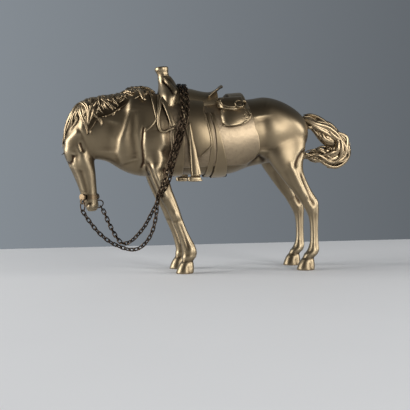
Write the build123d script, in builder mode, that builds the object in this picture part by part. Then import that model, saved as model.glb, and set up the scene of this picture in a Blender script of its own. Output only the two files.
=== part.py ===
from build123d import *
from math import cos, radians, sin, sqrt
import os

# Cast bronze figure of a saddled range horse with its head down and loose chain reins.
# Millimetres, +Z up, the horse faces -X and its left side faces -Y. It stands on Z = 0.

# --- Overall sizes ---
barrel_z = 104.0  # height of the trunk's middle line above the ground
barrel_half = 24.5  # half the width of the belly
hoof_height = 9.2
hoof_half = 6.2  # half the width of a hoof at the ground
fore_stance = 16.5  # middle plane of the horse to the middle of a foreleg
hind_stance = 18.0
head_turn = 40.0  # degrees, towards the horse's right
neck_seam_x = -55.0

# --- Hair and head details ---
mane_thick = 1.9
forelock_thick = 1.3
eye_radius = 2.0
ear_radius = 2.7
noseband_thick = 0.8
noseband_low, noseband_high = -47.6, -44.4  # from the trunk's middle line

# --- Tack thicknesses, counted outward from the horse ---
blanket_thick = 1.2
cinch_thick = 0.8
skirt_thick = 1.6
fender_thick = 1.6
string_thick = 1.1
pouch_thick = 4.4
flap_thick = 1.1
roll_thick = 2.2
tie_thick = 1.3
yoke_thick = 4.8
cantle_thick = 2.2

# --- Horn, bosses, stirrup ---
horn_cap_radius = 5.2
horn_cap_thick = 3.0
horn_neck_radius = 4.3
pouch_boss_radius = 3.5
pouch_boss_thick = 1.3
stirrup_width = 7.0
stirrup_thick = 4.0

# --- Bit, rings and chain ---
bit_radius = 0.9
bit_reach = 9.4  # middle of the mouth to the outside of a cheek boss
bit_drop = 46.0  # below the trunk's middle line
bit_boss_radius = 2.7
bit_boss_thick = 1.6
lug_drop = 3.4
lug_thick = 1.0
lug_radius = 2.1
lug_hole_radius = 1.05
ring_radius = 3.6
ring_wire_radius = 0.45
ring_lean_left = 0.0  # degrees outward from hanging straight down
ring_lean_right = 50.0
link_wire_radius = 0.45
link_inner_length = 3.6
link_inner_half = 0.85
link_play = 0.2  # how much each link could still be pulled out of the next

# --- Derived sizes ---
link_pitch = link_inner_length - link_play
blanket_out = blanket_thick
cinch_out = blanket_out + cinch_thick
skirt_out = blanket_out + skirt_thick
fender_out = skirt_out + fender_thick
pouch_out = blanket_out + pouch_thick
flap_out = pouch_out + flap_thick
roll_out = blanket_out + roll_thick
tie_out = roll_out + tie_thick
yoke_out = blanket_out + yoke_thick

# Trunk and neck: x, lowest and highest point from the trunk's middle line, share of the
# belly's half width, and how far the section's middle lies towards the horse's right.
trunk = [
    (-101.0, -3.0, 20.0, 0.30, 3.4),
    (-97.0, -12.0, 24.0, 0.42, 3.0),
    (-90.0, -17.0, 26.4, 0.50, 2.4),
    (-80.0, -19.5, 28.2, 0.56, 1.4),
    (-70.0, -25.6, 29.8, 0.64, 0.5),
    (-61.0, -29.3, 34.4, 0.74, 0.0),
    (-52.0, -31.0, 34.6, 0.83, 0.0),
    (-42.0, -30.6, 32.0, 0.89, 0.0),
    (-30.0, -29.2, 29.6, 0.93, 0.0),
    (-14.0, -29.8, 27.4, 0.98, 0.0),
    (2.0, -30.3, 26.6, 1.0, 0.0),
    (16.0, -28.6, 27.6, 0.98, 0.0),
    (30.0, -23.6, 28.8, 0.93, 0.0),
    (42.0, -21.4, 30.5, 0.91, 0.0),
    (54.0, -19.4, 28.0, 0.87, 0.0),
    (65.0, -15.6, 22.4, 0.74, 0.0),
    (72.5, -11.0, 16.0, 0.54, 0.0),
    (77.0, -4.0, 8.0, 0.22, 0.0),
]

# Head, from the poll down to the lip: height from the trunk's middle line, x and y of
# the section's middle, half its depth from face to jaw, half its width.
head_form = [
    (26.5, -93.0, 4.6, 4.2, 3.4),
    (23.0, -94.8, 4.8, 7.6, 6.2),
    (14.0, -97.4, 5.0, 10.6, 8.2),
    (3.0, -100.0, 5.0, 11.6, 9.0),
    (-8.0, -101.4, 5.0, 11.8, 9.0),
    (-18.0, -100.8, 5.0, 11.2, 7.8),
    (-28.0, -97.8, 5.0, 9.8, 6.6),
    (-38.0, -95.4, 5.0, 7.8, 5.6),
    (-47.0, -93.6, 5.0, 6.3, 5.4),
    (-53.0, -92.4, 5.0, 5.2, 5.2),
    (-57.0, -92.2, 5.0, 3.0, 3.4),
]

# Legs, from inside the trunk down to the hoof: share of the height between the hoof's
# top and the trunk's middle line, front x, rear x, and half the width. The last value
# moves the section's middle towards the horse's middle plane.
foreleg_form = [
    (0.93, -53.0, -34.5, 6.2, 4.0),
    (0.83, -53.0, -35.2, 7.2, 3.0),
    (0.75, -52.0, -35.8, 7.4, 2.2),
    (0.67, -49.6, -35.7, 6.9, 1.4),
    (0.57, -45.6, -33.4, 5.8, 0.8),
    (0.48, -41.4, -30.2, 4.9, 0.4),
    (0.41, -37.6, -27.9, 4.7, 0.2),
    (0.34, -34.9, -25.8, 4.3, 0.0),
    (0.26, -31.6, -22.9, 3.7, 0.0),
    (0.19, -28.9, -19.8, 3.5, 0.0),
    (0.12, -27.0, -16.2, 4.0, 0.0),
    (0.06, -26.0, -15.0, 4.4, 0.0),
    (0.02, -26.4, -16.9, 4.2, 0.0),
    (0.0, -27.2, -17.8, 4.3, 0.0),
]
hindleg_form = [
    (0.97, 43.5, 72.5, 7.6, 6.4),
    (0.87, 40.5, 72.0, 8.4, 5.0),
    (0.76, 44.0, 69.6, 7.6, 3.6),
    (0.69, 49.2, 69.8, 7.0, 2.6),
    (0.62, 54.4, 72.2, 6.2, 1.6),
    (0.55, 59.6, 75.4, 5.4, 0.8),
    (0.48, 65.0, 79.4, 4.7, 0.3),
    (0.41, 69.2, 80.9, 4.5, 0.0),
    (0.33, 72.9, 80.7, 3.7, 0.0),
    (0.22, 74.0, 80.4, 3.3, 0.0),
    (0.12, 73.6, 80.7, 3.6, 0.0),
    (0.06, 71.4, 80.8, 4.3, 0.0),
    (0.02, 68.6, 78.2, 4.2, 0.0),
    (0.0, 67.0, 76.8, 4.3, 0.0),
]
fore_toe, fore_heel = -31.4, -17.6
hind_toe, hind_heel = 62.9, 77.4

# Tail: x, height from the trunk's middle line, half its thickness across the curl in the
# side view, half its width, and the angle its axis points to there.
tail_form = [
    (72.0, 13.6, 3.2, 3.4, -8.0),
    (79.0, 12.2, 3.8, 4.2, -14.0),
    (87.0, 9.0, 4.8, 5.0, -28.0),
    (94.6, 3.6, 6.6, 5.6, -42.0),
    (100.6, -4.4, 9.2, 6.0, -66.0),
    (102.4, -12.6, 10.3, 6.0, -92.0),
    (99.6, -19.6, 8.6, 5.4, -136.0),
    (92.4, -20.6, 5.6, 4.6, -178.0),
    (86.2, -17.0, 3.8, 3.8, -214.0),
    (81.4, -14.4, 2.6, 3.0, -196.0),
]


# --- Helpers ---
def trunk_form(grow, low_x=-999.0, high_x=999.0, sink=0.0):
    """The trunk's loft, grown outward everywhere by one amount."""
    stations = [s for s in trunk if low_x <= s[0] <= high_x]
    with BuildPart() as form:
        for x, low, high, share, y in stations:
            centre = (x, y, barrel_z + (low + high - sink) / 2)
            with BuildSketch(Plane(origin=centre, x_dir=(0, 1, 0), z_dir=(1, 0, 0))):
                Ellipse(barrel_half * share + grow, (high - low - sink) / 2 + grow)
        loft()
    return form.part


def trunk_radii(x):
    """Middle height, half height and half width of the trunk at one x."""
    for near, far in zip(trunk, trunk[1:]):
        if near[0] <= x <= far[0]:
            t = (x - near[0]) / (far[0] - near[0])
            low = near[1] + t * (far[1] - near[1])
            high = near[2] + t * (far[2] - near[2])
            share = near[3] + t * (far[3] - near[3])
            return barrel_z + (low + high) / 2, (high - low) / 2, barrel_half * share


def side_point(x, dz, out):
    """A point on the horse's left flank, `out` proud of it, and the way it faces."""
    middle, tall, wide = trunk_radii(x)
    tall, wide = tall + out, wide + out
    share = (barrel_z + dz - middle) / tall
    y = -wide * sqrt(1 - share * share)
    facing = Vector(0, y / wide**2, share / tall).normalized()
    return Vector(x, y, barrel_z + dz), facing


def side_slab(outline, low_y=-80.0, high_y=80.0):
    """A block with the given side-view outline, heights from the trunk's middle line."""
    with BuildPart() as slab:
        with BuildSketch(Plane(origin=(0, high_y, barrel_z), x_dir=(1, 0, 0), z_dir=(0, -1, 0))):
            with BuildLine():
                Polyline(*outline, close=True)
            make_face()
        extrude(amount=high_y - low_y)
    return slab.part


def head_plane(dz, x, y):
    """Level plane through the head, its x towards the face."""
    face = (-cos(radians(head_turn)), sin(radians(head_turn)), 0)
    return Plane(origin=(x, y, barrel_z + dz), x_dir=face, z_dir=(0, 0, 1))


def head_solid(grow):
    """The head's loft, grown outward everywhere by one amount."""
    with BuildPart() as form:
        for dz, x, y, deep, wide in head_form:
            with BuildSketch(head_plane(dz, x, y)):
                Ellipse(deep + grow, wide + grow)
        loft()
    return form.part


# --- Forms that the tack is cut from ---
trunk_all = trunk_form(0)
saddle_band = (-80.0, 60.0)
over_blanket = trunk_form(blanket_out, *saddle_band)
over_cinch = trunk_form(cinch_out, *saddle_band)
over_skirt = trunk_form(skirt_out, *saddle_band)
over_fender = trunk_form(fender_out, *saddle_band)
over_roll = trunk_form(roll_out, *saddle_band)
over_tie = trunk_form(tie_out, *saddle_band)
over_pouch = trunk_form(pouch_out, *saddle_band)
over_flap = trunk_form(flap_out, *saddle_band)
over_yoke = trunk_form(yoke_out, *saddle_band)
over_string = trunk_form(string_thick, *saddle_band)
head_all = head_solid(0)

pieces = []


def keep(part, name):
    """Label a finished piece and write it."""
    part.label = name
    export_step(part, f"parts/{name}.step")
    pieces.append((name, part))


# --- Trunk and neck ---
with BuildPart() as trunk_casting:
    add(trunk_all)
    split(bisect_by=Plane.YZ.offset(neck_seam_x), keep=Keep.TOP)
keep(trunk_casting.part, "trunk")

with BuildPart() as neck_casting:
    add(trunk_all)
    split(bisect_by=Plane.YZ.offset(neck_seam_x), keep=Keep.BOTTOM)
    add(head_all, mode=Mode.SUBTRACT)
keep(neck_casting.part, "neck")

with BuildPart() as head_casting:
    add(head_all)
keep(head_casting.part, "head")


# --- Legs and hooves ---
def leg_solid(form, stance, side):
    """One leg on one side, cut to sit on the trunk's underside."""
    leg_span = barrel_z - hoof_height
    with BuildPart() as leg:
        for share, front, rear, half, inward in form:
            centre = ((front + rear) / 2, side * (stance - inward), hoof_height + share * leg_span)
            with BuildSketch(Plane(origin=centre, x_dir=(1, 0, 0), z_dir=(0, 0, 1))):
                Ellipse((rear - front) / 2, half)
        loft()
        add(trunk_all, mode=Mode.SUBTRACT)
    return max(leg.part.solids(), key=lambda solid: solid.volume)


def hoof_solid(toe, heel, form, stance, side):
    """One hoof, wider at the ground, topped by the leg's last section."""
    top_front, top_rear, top_half = form[-1][1], form[-1][2], form[-1][3]
    with BuildPart() as hoof:
        for z, front, rear, half in (
            (0.0, toe, heel, hoof_half),
            (hoof_height, top_front, top_rear, top_half),
        ):
            centre = ((front + rear) / 2, side * stance, z)
            with BuildSketch(Plane(origin=centre, x_dir=(1, 0, 0), z_dir=(0, 0, 1))):
                Ellipse((rear - front) / 2, half)
        loft()
    return hoof.part


for side, side_name in ((-1, "left"), (1, "right")):
    with BuildPart() as foreleg:
        add(leg_solid(foreleg_form, fore_stance, side))
    keep(foreleg.part, f"foreleg_{side_name}")
    with BuildPart() as fore_hoof:
        add(hoof_solid(fore_toe, fore_heel, foreleg_form, fore_stance, side))
    keep(fore_hoof.part, f"fore_hoof_{side_name}")
    with BuildPart() as hindleg:
        add(leg_solid(hindleg_form, hind_stance, side))
    keep(hindleg.part, f"hindleg_{side_name}")
    with BuildPart() as hind_hoof:
        add(hoof_solid(hind_toe, hind_heel, hindleg_form, hind_stance, side))
    keep(hind_hoof.part, f"hind_hoof_{side_name}")

# --- Tail ---
with BuildPart() as tail:
    for x, dz, thick, wide, angle in tail_form:
        along = (cos(radians(angle)), 0, sin(radians(angle)))
        with BuildSketch(Plane(origin=(x, 0, barrel_z + dz), x_dir=(0, 1, 0), z_dir=along)):
            Ellipse(wide, thick)
    loft()
    add(trunk_all, mode=Mode.SUBTRACT)
    for side in (-1, 1):
        add(leg_solid(hindleg_form, hind_stance, side), mode=Mode.SUBTRACT)
keep(tail.part, "tail")

# --- Mane and forelock ---
mane_outline = [
    (-101, 24), (-97, 40), (-46, 40), (-48, 33), (-54, 28.5), (-60, 24),
    (-66, 20), (-74, 17), (-83, 13), (-91, 11), (-98, 15),
]
with BuildPart() as mane:
    add(trunk_form(mane_thick, -101.0, -30.0))
    add(side_slab(mane_outline), mode=Mode.INTERSECT)
    add(trunk_all, mode=Mode.SUBTRACT)
    add(head_all, mode=Mode.SUBTRACT)
keep(mane.part, "mane")

face_dir = Vector(-cos(radians(head_turn)), sin(radians(head_turn)), 0)
left_dir = Vector(-sin(radians(head_turn)), -cos(radians(head_turn)), 0)
forelock_outline = [(-4.5, 30), (4.5, 30), (4.2, 12), (2.2, -4), (0.4, -15), (-1.8, -6), (-4.0, 10)]
with BuildPart() as forelock:
    add(head_solid(forelock_thick))
    with BuildSketch(
        Plane(origin=(-97.0, 5.0, barrel_z), x_dir=left_dir, z_dir=face_dir),
        mode=Mode.PRIVATE,
    ) as lock_front:
        with BuildLine():
            Polyline(*forelock_outline, close=True)
        make_face()
    extrude(lock_front.sketch, amount=40, mode=Mode.INTERSECT)
    add(head_all, mode=Mode.SUBTRACT)
    add(trunk_all, mode=Mode.SUBTRACT)
    add(mane.part, mode=Mode.SUBTRACT)
keep(forelock.part, "forelock")


# --- Ears and eyes ---
def ear_solid(root, tip):
    """A laid-back ear tapering from its root to its tip."""
    along = Vector(*tip) - Vector(*root)
    with BuildPart() as ear:
        for t, radius in ((0.0, 0.72), (0.35, 1.0), (0.75, 0.66), (1.0, 0.18)):
            with BuildSketch(Plane(origin=Vector(*root) + along * t, z_dir=along)):
                Circle(ear_radius * radius)
        loft()
        add(head_all, mode=Mode.SUBTRACT)
        add(trunk_all, mode=Mode.SUBTRACT)
        add(mane.part, mode=Mode.SUBTRACT)
    return max(ear.part.solids(), key=lambda solid: solid.volume)


with BuildPart() as ear_left:
    add(ear_solid((-99.4, -3.6, barrel_z + 8.0), (-91.6, -8.6, barrel_z + 19.0)))
keep(ear_left.part, "ear_left")
with BuildPart() as ear_right:
    add(ear_solid((-92.6, 12.6, barrel_z + 9.0), (-86.4, 14.0, barrel_z + 20.0)))
keep(ear_right.part, "ear_right")

for side, side_name in ((1, "left"), (-1, "right")):
    eye_at = Vector(-101.2, 5.0, barrel_z - 7.0) + left_dir * (side * 7.2) + face_dir * 5.6
    with BuildPart() as eye:
        with Locations(eye_at):
            Sphere(eye_radius)
        add(head_all, mode=Mode.SUBTRACT)
    keep(eye.part, f"eye_{side_name}")

# --- Saddle blanket and girths ---
blanket_outline = [
    (-37, 45), (-36, 0), (-33.5, -22), (-31, -25), (10, -25), (24, -22.5), (31, -17.5),
    (34, -11), (32, -2), (29.4, 5.5), (27, 15), (25.5, 26), (24, 45),
]
with BuildPart() as blanket:
    add(over_blanket)
    add(side_slab(blanket_outline), mode=Mode.INTERSECT)
    add(trunk_all, mode=Mode.SUBTRACT)
keep(blanket.part, "saddle_blanket")

front_cinch_outline = [(-34, 4), (-25, 4), (-23.5, -40), (-32.5, -40)]
rear_cinch_outline = [
    (-5.4, 17), (-2.4, 3.4), (-0.9, -11.5), (-1.0, -22.6), (-1.6, -40),
    (12.4, -40), (8.6, -21), (5.6, -11.5), (1.1, 3.4), (-2.2, 17),
]
for outline, name in ((front_cinch_outline, "front_cinch"), (rear_cinch_outline, "rear_cinch")):
    with BuildPart() as cinch:
        add(over_cinch)
        add(side_slab(outline), mode=Mode.INTERSECT)
        add(trunk_all, mode=Mode.SUBTRACT)
        add(blanket.part, mode=Mode.SUBTRACT)
    if name == "front_cinch":
        front_cinch = cinch.part
    keep(cinch.part, name)

# --- Saddle: skirts, fenders, stirrup feet ---
skirt_outline = [
    (-27.5, 40), (-26.2, 20), (-24.4, 6), (-22.6, -6), (-21.6, -13), (-15, -18),
    (-12.4, -16.6), (-8, -11), (-5.6, -8), (-5.4, -4), (-7.6, 8), (-9.0, 17), (-6, 24), (-4, 40),
]
fender_outline = [
    (-22.8, 6), (-22.6, 0), (-21.6, -14), (-21.4, -31), (-13.6, -31), (-14.6, -20),
    (-16.2, -12), (-18.0, -6), (-18.8, 0), (-19.2, 6),
]
hang_mid, hang_tall, hang_wide = trunk_radii(-19.0)
hang_dz = hang_mid - barrel_z  # height where the flank is at its widest
fender_in = hang_wide + skirt_out
fender_face = hang_wide + fender_out
skirts = {}
for side, side_name in ((-1, "left"), (1, "right")):
    low_y, high_y = (-80.0, 0.0) if side < 0 else (0.0, 80.0)
    with BuildPart() as skirt:
        add(over_skirt)
        add(side_slab(skirt_outline, low_y, high_y), mode=Mode.INTERSECT)
        add(over_blanket, mode=Mode.SUBTRACT)
    skirts[side_name] = skirt.part
    keep(skirt.part, f"skirt_{side_name}")
    plate = sorted((side * fender_in, side * fender_face))
    with BuildPart() as hanging:
        add(side_slab(fender_outline, *plate))
        split(bisect_by=Plane.XY.offset(hang_mid), keep=Keep.BOTTOM)
    with BuildPart() as fender:
        add(over_fender)
        add(side_slab(fender_outline, low_y, high_y), mode=Mode.INTERSECT)
        split(bisect_by=Plane.XY.offset(hang_mid), keep=Keep.TOP)
        add(hanging.part)
        add(over_skirt, mode=Mode.SUBTRACT)
    keep(fender.part, f"fender_{side_name}")
    foot_centre = (-18.6, side * (fender_in + fender_face) / 2, barrel_z - 31.0 - stirrup_thick / 2)
    with BuildPart() as stirrup:
        with Locations(foot_centre):
            Box(10.2, stirrup_width, stirrup_thick)
        fillet(stirrup.edges().filter_by(Axis.Z), 1.0)
    keep(stirrup.part, f"stirrup_{side_name}")

# --- Saddle: fork with horn, cantle, seat ---
fork_form = [
    (21.0, -42.5, -27.0, 18.6),
    (29.0, -42.4, -26.2, 17.2),
    (34.5, -41.2, -26.2, 13.2),
    (38.6, -40.4, -27.4, 9.0),
    (42.0, -40.6, -30.0, 5.6),
    (44.4, -40.9, -31.6, 4.4),
]
with BuildPart() as fork:
    for dz, front, rear, half in fork_form:
        with BuildSketch(Plane(origin=((front + rear) / 2, 0, barrel_z + dz))):
            Ellipse((rear - front) / 2, half)
    loft()
    add(over_blanket, mode=Mode.SUBTRACT)
    for part in skirts.values():
        add(part, mode=Mode.SUBTRACT)
keep(fork.part, "saddle_fork")

horn_base_dz = fork_form[-1][0]
with BuildPart() as horn:
    for dz, x, radius in ((horn_base_dz, -36.3, 4.4), (47.0, -37.0, horn_neck_radius), (49.6, -38.0, 4.4)):
        with BuildSketch(Plane(origin=(x, 0, barrel_z + dz))):
            Circle(radius)
    loft()
    with Locations((-38.3, 0, barrel_z + 49.6 + horn_cap_thick / 2)):
        Cylinder(horn_cap_radius, horn_cap_thick)
    fillet(horn.edges().group_by(Axis.Z)[-1], 0.8)
keep(horn.part, "saddle_horn")

cantle_up = Vector(0.715, 0, 0.699)
cantle_front = Vector(-0.699, 0, 0.715)
cantle_low = Vector(-3.4, 0, barrel_z + 28.0)
with BuildPart() as cantle:
    with BuildSketch(Plane(origin=cantle_low, x_dir=(0, 1, 0), z_dir=cantle_front)):
        Ellipse(14.5, 16.6)
    extrude(amount=-cantle_thick)
    add(over_skirt, mode=Mode.SUBTRACT)
keep(cantle.part, "cantle")

seat_form = [(-30.0, 37.4, 16.5), (-24.0, 36.9, 17.0), (-17.0, 36.4, 17.0), (-9.0, 34.6, 16.4), (-2.0, 34.0, 15.4), (3.0, 36.0, 14.6)]
seat_middle = 14.0
with BuildPart() as seat:
    for x, top, half in seat_form:
        with BuildSketch(Plane(origin=(x, 0, barrel_z + seat_middle), x_dir=(0, 1, 0), z_dir=(1, 0, 0))):
            Ellipse(half, top - seat_middle)
    loft()
    add(over_skirt, mode=Mode.SUBTRACT)
    add(fork.part, mode=Mode.SUBTRACT)
    split(bisect_by=Plane(origin=cantle_low, z_dir=cantle_front), keep=Keep.TOP)
keep(max(seat.part.solids(), key=lambda solid: solid.volume), "saddle_seat")

# --- Saddlebags, roll and ties behind the cantle ---
yoke_outline = [(9.5, 22), (9.5, 45), (24.6, 45), (24.6, 22)]
pouch_outline = [
    (1.0, 27), (1.6, 20.6), (5.1, 18), (12, 17.2), (18.2, 19), (21.0, 23), (20.8, 32), (9.6, 32), (5.0, 31),
]
flap_outline = [(2.4, 26.6), (4.4, 22.4), (10, 20), (15, 20.2), (20.2, 23.4), (20.2, 31), (9.8, 31), (5.6, 29.6)]
roll_outline = [(2.8, 7.4), (3.4, 19), (10, 24), (25.4, 24), (26.6, 14), (21.4, 8.4), (14, 5.8), (4.6, 5.8)]
tie_outlines = [
    [(19.4, 17.6), (24.8, 12.0), (25.6, 13.0), (20.2, 18.6)],
    [(21.2, 19.6), (25.4, 15.2), (26.2, 16.2), (22.0, 20.6)],
    [(18.0, 10.4), (24.2, 12.6), (23.8, 13.8), (17.6, 11.6)],
]
boss_x, boss_dz = 16.8, 23.4
for side, side_name in ((-1, "left"), (1, "right")):
    low_y, high_y = (-80.0, -3.0) if side < 0 else (3.0, 80.0)
    with BuildPart() as pouch:
        add(over_pouch)
        add(side_slab(pouch_outline, low_y, high_y), mode=Mode.INTERSECT)
        add(over_blanket, mode=Mode.SUBTRACT)
        add(cantle.part, mode=Mode.SUBTRACT)
    pouch_part = max(pouch.part.solids(), key=lambda solid: solid.volume)
    keep(pouch_part, f"saddlebag_{side_name}")
    with BuildPart() as flap:
        add(over_flap)
        add(side_slab(flap_outline, low_y, high_y), mode=Mode.INTERSECT)
        add(over_pouch, mode=Mode.SUBTRACT)
        add(cantle.part, mode=Mode.SUBTRACT)
    flap_part = max(flap.part.solids(), key=lambda solid: solid.volume)
    keep(flap_part, f"saddlebag_flap_{side_name}")
    on_flap, facing = side_point(boss_x, boss_dz, flap_out)
    if side > 0:
        on_flap, facing = Vector(on_flap.X, -on_flap.Y, on_flap.Z), Vector(0, -facing.Y, facing.Z)
    with BuildPart() as boss:
        with BuildSketch(Plane(origin=on_flap - facing * 0.6, x_dir=(1, 0, 0), z_dir=facing)):
            Circle(pouch_boss_radius)
        extrude(amount=pouch_boss_thick + 0.6)
        fillet(boss.edges().sort_by(Axis(on_flap, facing))[-1], 0.6)
        add(flap_part, mode=Mode.SUBTRACT)
        add(pouch_part, mode=Mode.SUBTRACT)
    keep(max(boss.part.solids(), key=lambda solid: solid.volume), f"saddlebag_boss_{side_name}")
    with BuildPart() as roll:
        add(over_roll)
        add(side_slab(roll_outline, low_y, high_y), mode=Mode.INTERSECT)
        add(over_blanket, mode=Mode.SUBTRACT)
        add(pouch_part, mode=Mode.SUBTRACT)
        add(side_slab(yoke_outline), mode=Mode.SUBTRACT)
    keep(max(roll.part.solids(), key=lambda solid: solid.volume), f"saddle_roll_{side_name}")
    with BuildPart() as ties:
        for outline in tie_outlines:
            add(side_slab(outline, low_y, high_y))
        add(over_tie, mode=Mode.INTERSECT)
        add(over_roll, mode=Mode.SUBTRACT)
        add(pouch_part, mode=Mode.SUBTRACT)
        add(flap_part, mode=Mode.SUBTRACT)
        add(boss.part, mode=Mode.SUBTRACT)
    keep(ties.part, f"saddle_ties_{side_name}")
    with BuildPart() as half_yoke:
        add(pouch_part)
        add(flap_part)
    if side < 0:
        bags_left = half_yoke.part
    else:
        bags_right = half_yoke.part

with BuildPart() as yoke:
    add(over_yoke)
    add(side_slab(yoke_outline), mode=Mode.INTERSECT)
    add(over_blanket, mode=Mode.SUBTRACT)
    add(bags_left, mode=Mode.SUBTRACT)
    add(bags_right, mode=Mode.SUBTRACT)
keep(max(yoke.part.solids(), key=lambda solid: solid.volume), "saddlebag_yoke")

# --- Saddle strings and rigging straps in front of the saddle ---
string_outline = [
    (-43.6, 33), (-41.8, 33), (-43.8, 18), (-48.6, 5.4), (-54.8, 1.6), (-54.4, 3.2), (-49.6, 7.2), (-45.4, 18.2),
]
rigging_outline = [(-45.4, 20), (-45.0, 9), (-43.4, 2.2), (-39.4, 0.8), (-32.0, 3.2), (-31.4, 7.0), (-34.2, 16), (-38.6, 27), (-41.4, 27)]
rigging_inner = [(-43.0, 16.6), (-42.9, 8.8), (-41.4, 4.8), (-38.8, 3.8), (-35.0, 6.0), (-36.6, 13.0), (-40.4, 20.8)]
for side, side_name in ((-1, "left"), (1, "right")):
    low_y, high_y = (-80.0, 0.0) if side < 0 else (0.0, 80.0)
    with BuildPart() as rigging:
        add(trunk_form(skirt_out, *saddle_band))
        add(side_slab(rigging_outline, low_y, high_y), mode=Mode.INTERSECT)
        add(side_slab(rigging_inner, low_y, high_y), mode=Mode.SUBTRACT)
        for part in (trunk_all, blanket.part, fork.part, skirts[side_name], front_cinch):
            add(part, mode=Mode.SUBTRACT)
    rigging_part = max(rigging.part.solids(), key=lambda solid: solid.volume)
    keep(rigging_part, f"rigging_{side_name}")
    with BuildPart() as strings:
        add(over_string)
        add(side_slab(string_outline, low_y, high_y), mode=Mode.INTERSECT)
        for part in (trunk_all, blanket.part, fork.part, rigging_part):
            add(part, mode=Mode.SUBTRACT)
    keep(max(strings.part.solids(), key=lambda solid: solid.volume), f"saddle_strings_{side_name}")

# --- Bridle: noseband, bit, cheek bosses with their lugs ---
bit_z = barrel_z - bit_drop
mouth = Vector(-93.8, 5.0, bit_z)
with BuildPart() as noseband:
    add(head_solid(noseband_thick))
    split(bisect_by=Plane.XY.offset(barrel_z + noseband_low), keep=Keep.TOP)
    split(bisect_by=Plane.XY.offset(barrel_z + noseband_high), keep=Keep.BOTTOM)
    add(head_all, mode=Mode.SUBTRACT)
    with BuildSketch(Plane(origin=mouth, z_dir=left_dir)):
        Circle(bit_radius)
    extrude(amount=bit_reach + 5, both=True, mode=Mode.SUBTRACT)
keep(noseband.part, "noseband")

with BuildPart() as bit_bar:
    with BuildSketch(Plane(origin=mouth, z_dir=left_dir)):
        Circle(bit_radius)
    extrude(amount=bit_reach - bit_boss_thick, both=True)
keep(bit_bar.part, "bit_bar")

with BuildPart() as head_bored:
    add(head_all)
    add(bit_bar.part, mode=Mode.SUBTRACT)
keep(head_bored.part, "head")


# --- Rings and rein chain ---
def level(angle):
    """Level direction at an angle from +X."""
    return Vector(cos(radians(angle)), sin(radians(angle)), 0)


def lug_eye(side):
    """Middle of the hole that a rein ring hangs in."""
    out = left_dir * side
    return mouth + out * (bit_reach - bit_boss_thick / 2) + Vector(0, 0, -lug_drop)


def ring_drop(side):
    """The way from a lug's hole to the middle of its ring."""
    lean = radians(ring_lean_left if side > 0 else ring_lean_right)
    return left_dir * (side * sin(lean)) + Vector(0, 0, -cos(lean))


def torus_at(centre, axis, major, minor):
    """A ring of round wire about an axis."""
    with BuildPart() as hoop:
        with Locations(Plane(origin=centre, z_dir=axis)):
            Torus(major, minor)
    return hoop.part


# Hanging strands, as share of the way from ring to hold and height from the middle line.
left_route = [
    (0.08, -63.4), (0.20, -71.8), (0.34, -78.6), (0.48, -82.7), (0.62, -85.0),
    (0.74, -84.2), (0.84, -79.6), (0.92, -72.0), (0.97, -61.5),
]
right_route = [
    (0.06, -58.4), (0.14, -66.4), (0.24, -74.8), (0.34, -80.6), (0.43, -81.8),
    (0.54, -79.6), (0.66, -74.4), (0.78, -67.6), (0.89, -58.6), (0.96, -52.6),
]
hold_left = Vector(-45.2, -(fore_stance + 6.3), barrel_z - 48.0)
hold_right = Vector(-44.6, -(fore_stance + 1.9), barrel_z - 48.0)
strands = {}
for side, side_name, hold, points in (
    (1, "left", hold_left, left_route), (-1, "right", hold_right, right_route),
):
    eye = lug_eye(side)
    drop = ring_drop(side)
    foot = eye + drop * (2 * ring_radius)  # where the first link hooks on
    run = Vector(hold.X - foot.X, hold.Y - foot.Y, 0)
    across = Vector(-run.Y, run.X, 0).normalized()
    if side > 0:
        wire_way = (across + run.normalized() * -1).normalized()
    else:  # a leaning ring turns its wire square to the way the chain leaves it
        wire_way = drop.cross(run * points[0][0] + Vector(0, 0, barrel_z + points[0][1] - foot.Z))
    wire_way = (wire_way - drop * wire_way.dot(drop)).normalized()
    ring_axis = drop.cross(wire_way).normalized()
    with BuildPart() as cheek:
        with BuildSketch(Plane(origin=mouth + left_dir * side * (bit_reach - bit_boss_thick), z_dir=left_dir * side)):
            Circle(bit_boss_radius)
        extrude(amount=bit_boss_thick)
        fillet(cheek.faces().sort_by(Axis(mouth, left_dir * side))[-1].edges(), 0.5)
        with BuildSketch(Plane(origin=eye, z_dir=wire_way)):
            Circle(lug_radius)
        extrude(amount=lug_thick / 2, both=True)
        with BuildSketch(Plane(origin=eye, z_dir=wire_way)):
            Circle(lug_hole_radius)
        extrude(amount=3.0, both=True, mode=Mode.SUBTRACT)
        add(noseband.part, mode=Mode.SUBTRACT)
    keep(max(cheek.part.solids(), key=lambda solid: solid.volume), f"bit_cheek_{side_name}")
    with BuildPart() as ring:
        add(torus_at(eye + drop * ring_radius, ring_axis, ring_radius, ring_wire_radius))
    keep(ring.part, f"rein_ring_{side_name}")
    strands[side_name] = (foot, hold, across, wire_way)
    print(side_name, "eye", eye, "foot", foot, "hold", hold)

# One link lying flat: its long way is x, its face looks along z.
with BuildPart() as link:
    half_run = link_inner_length / 2 - link_inner_half
    turn = link_inner_half + link_wire_radius
    with BuildLine() as link_path:
        near_run = Line((-half_run, -turn), (half_run, -turn))
        far_turn = RadiusArc((half_run, -turn), (half_run, turn), -turn)
        far_run = Line((half_run, turn), (-half_run, turn))
        near_turn = RadiusArc((-half_run, turn), (-half_run, -turn), -turn)
    with BuildSketch(Plane(origin=(0, -turn, 0), z_dir=(1, 0, 0))):
        Circle(link_wire_radius)
    sweep(path=link_path.wires()[0])
link_solid = link.part.solids()[0]


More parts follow.
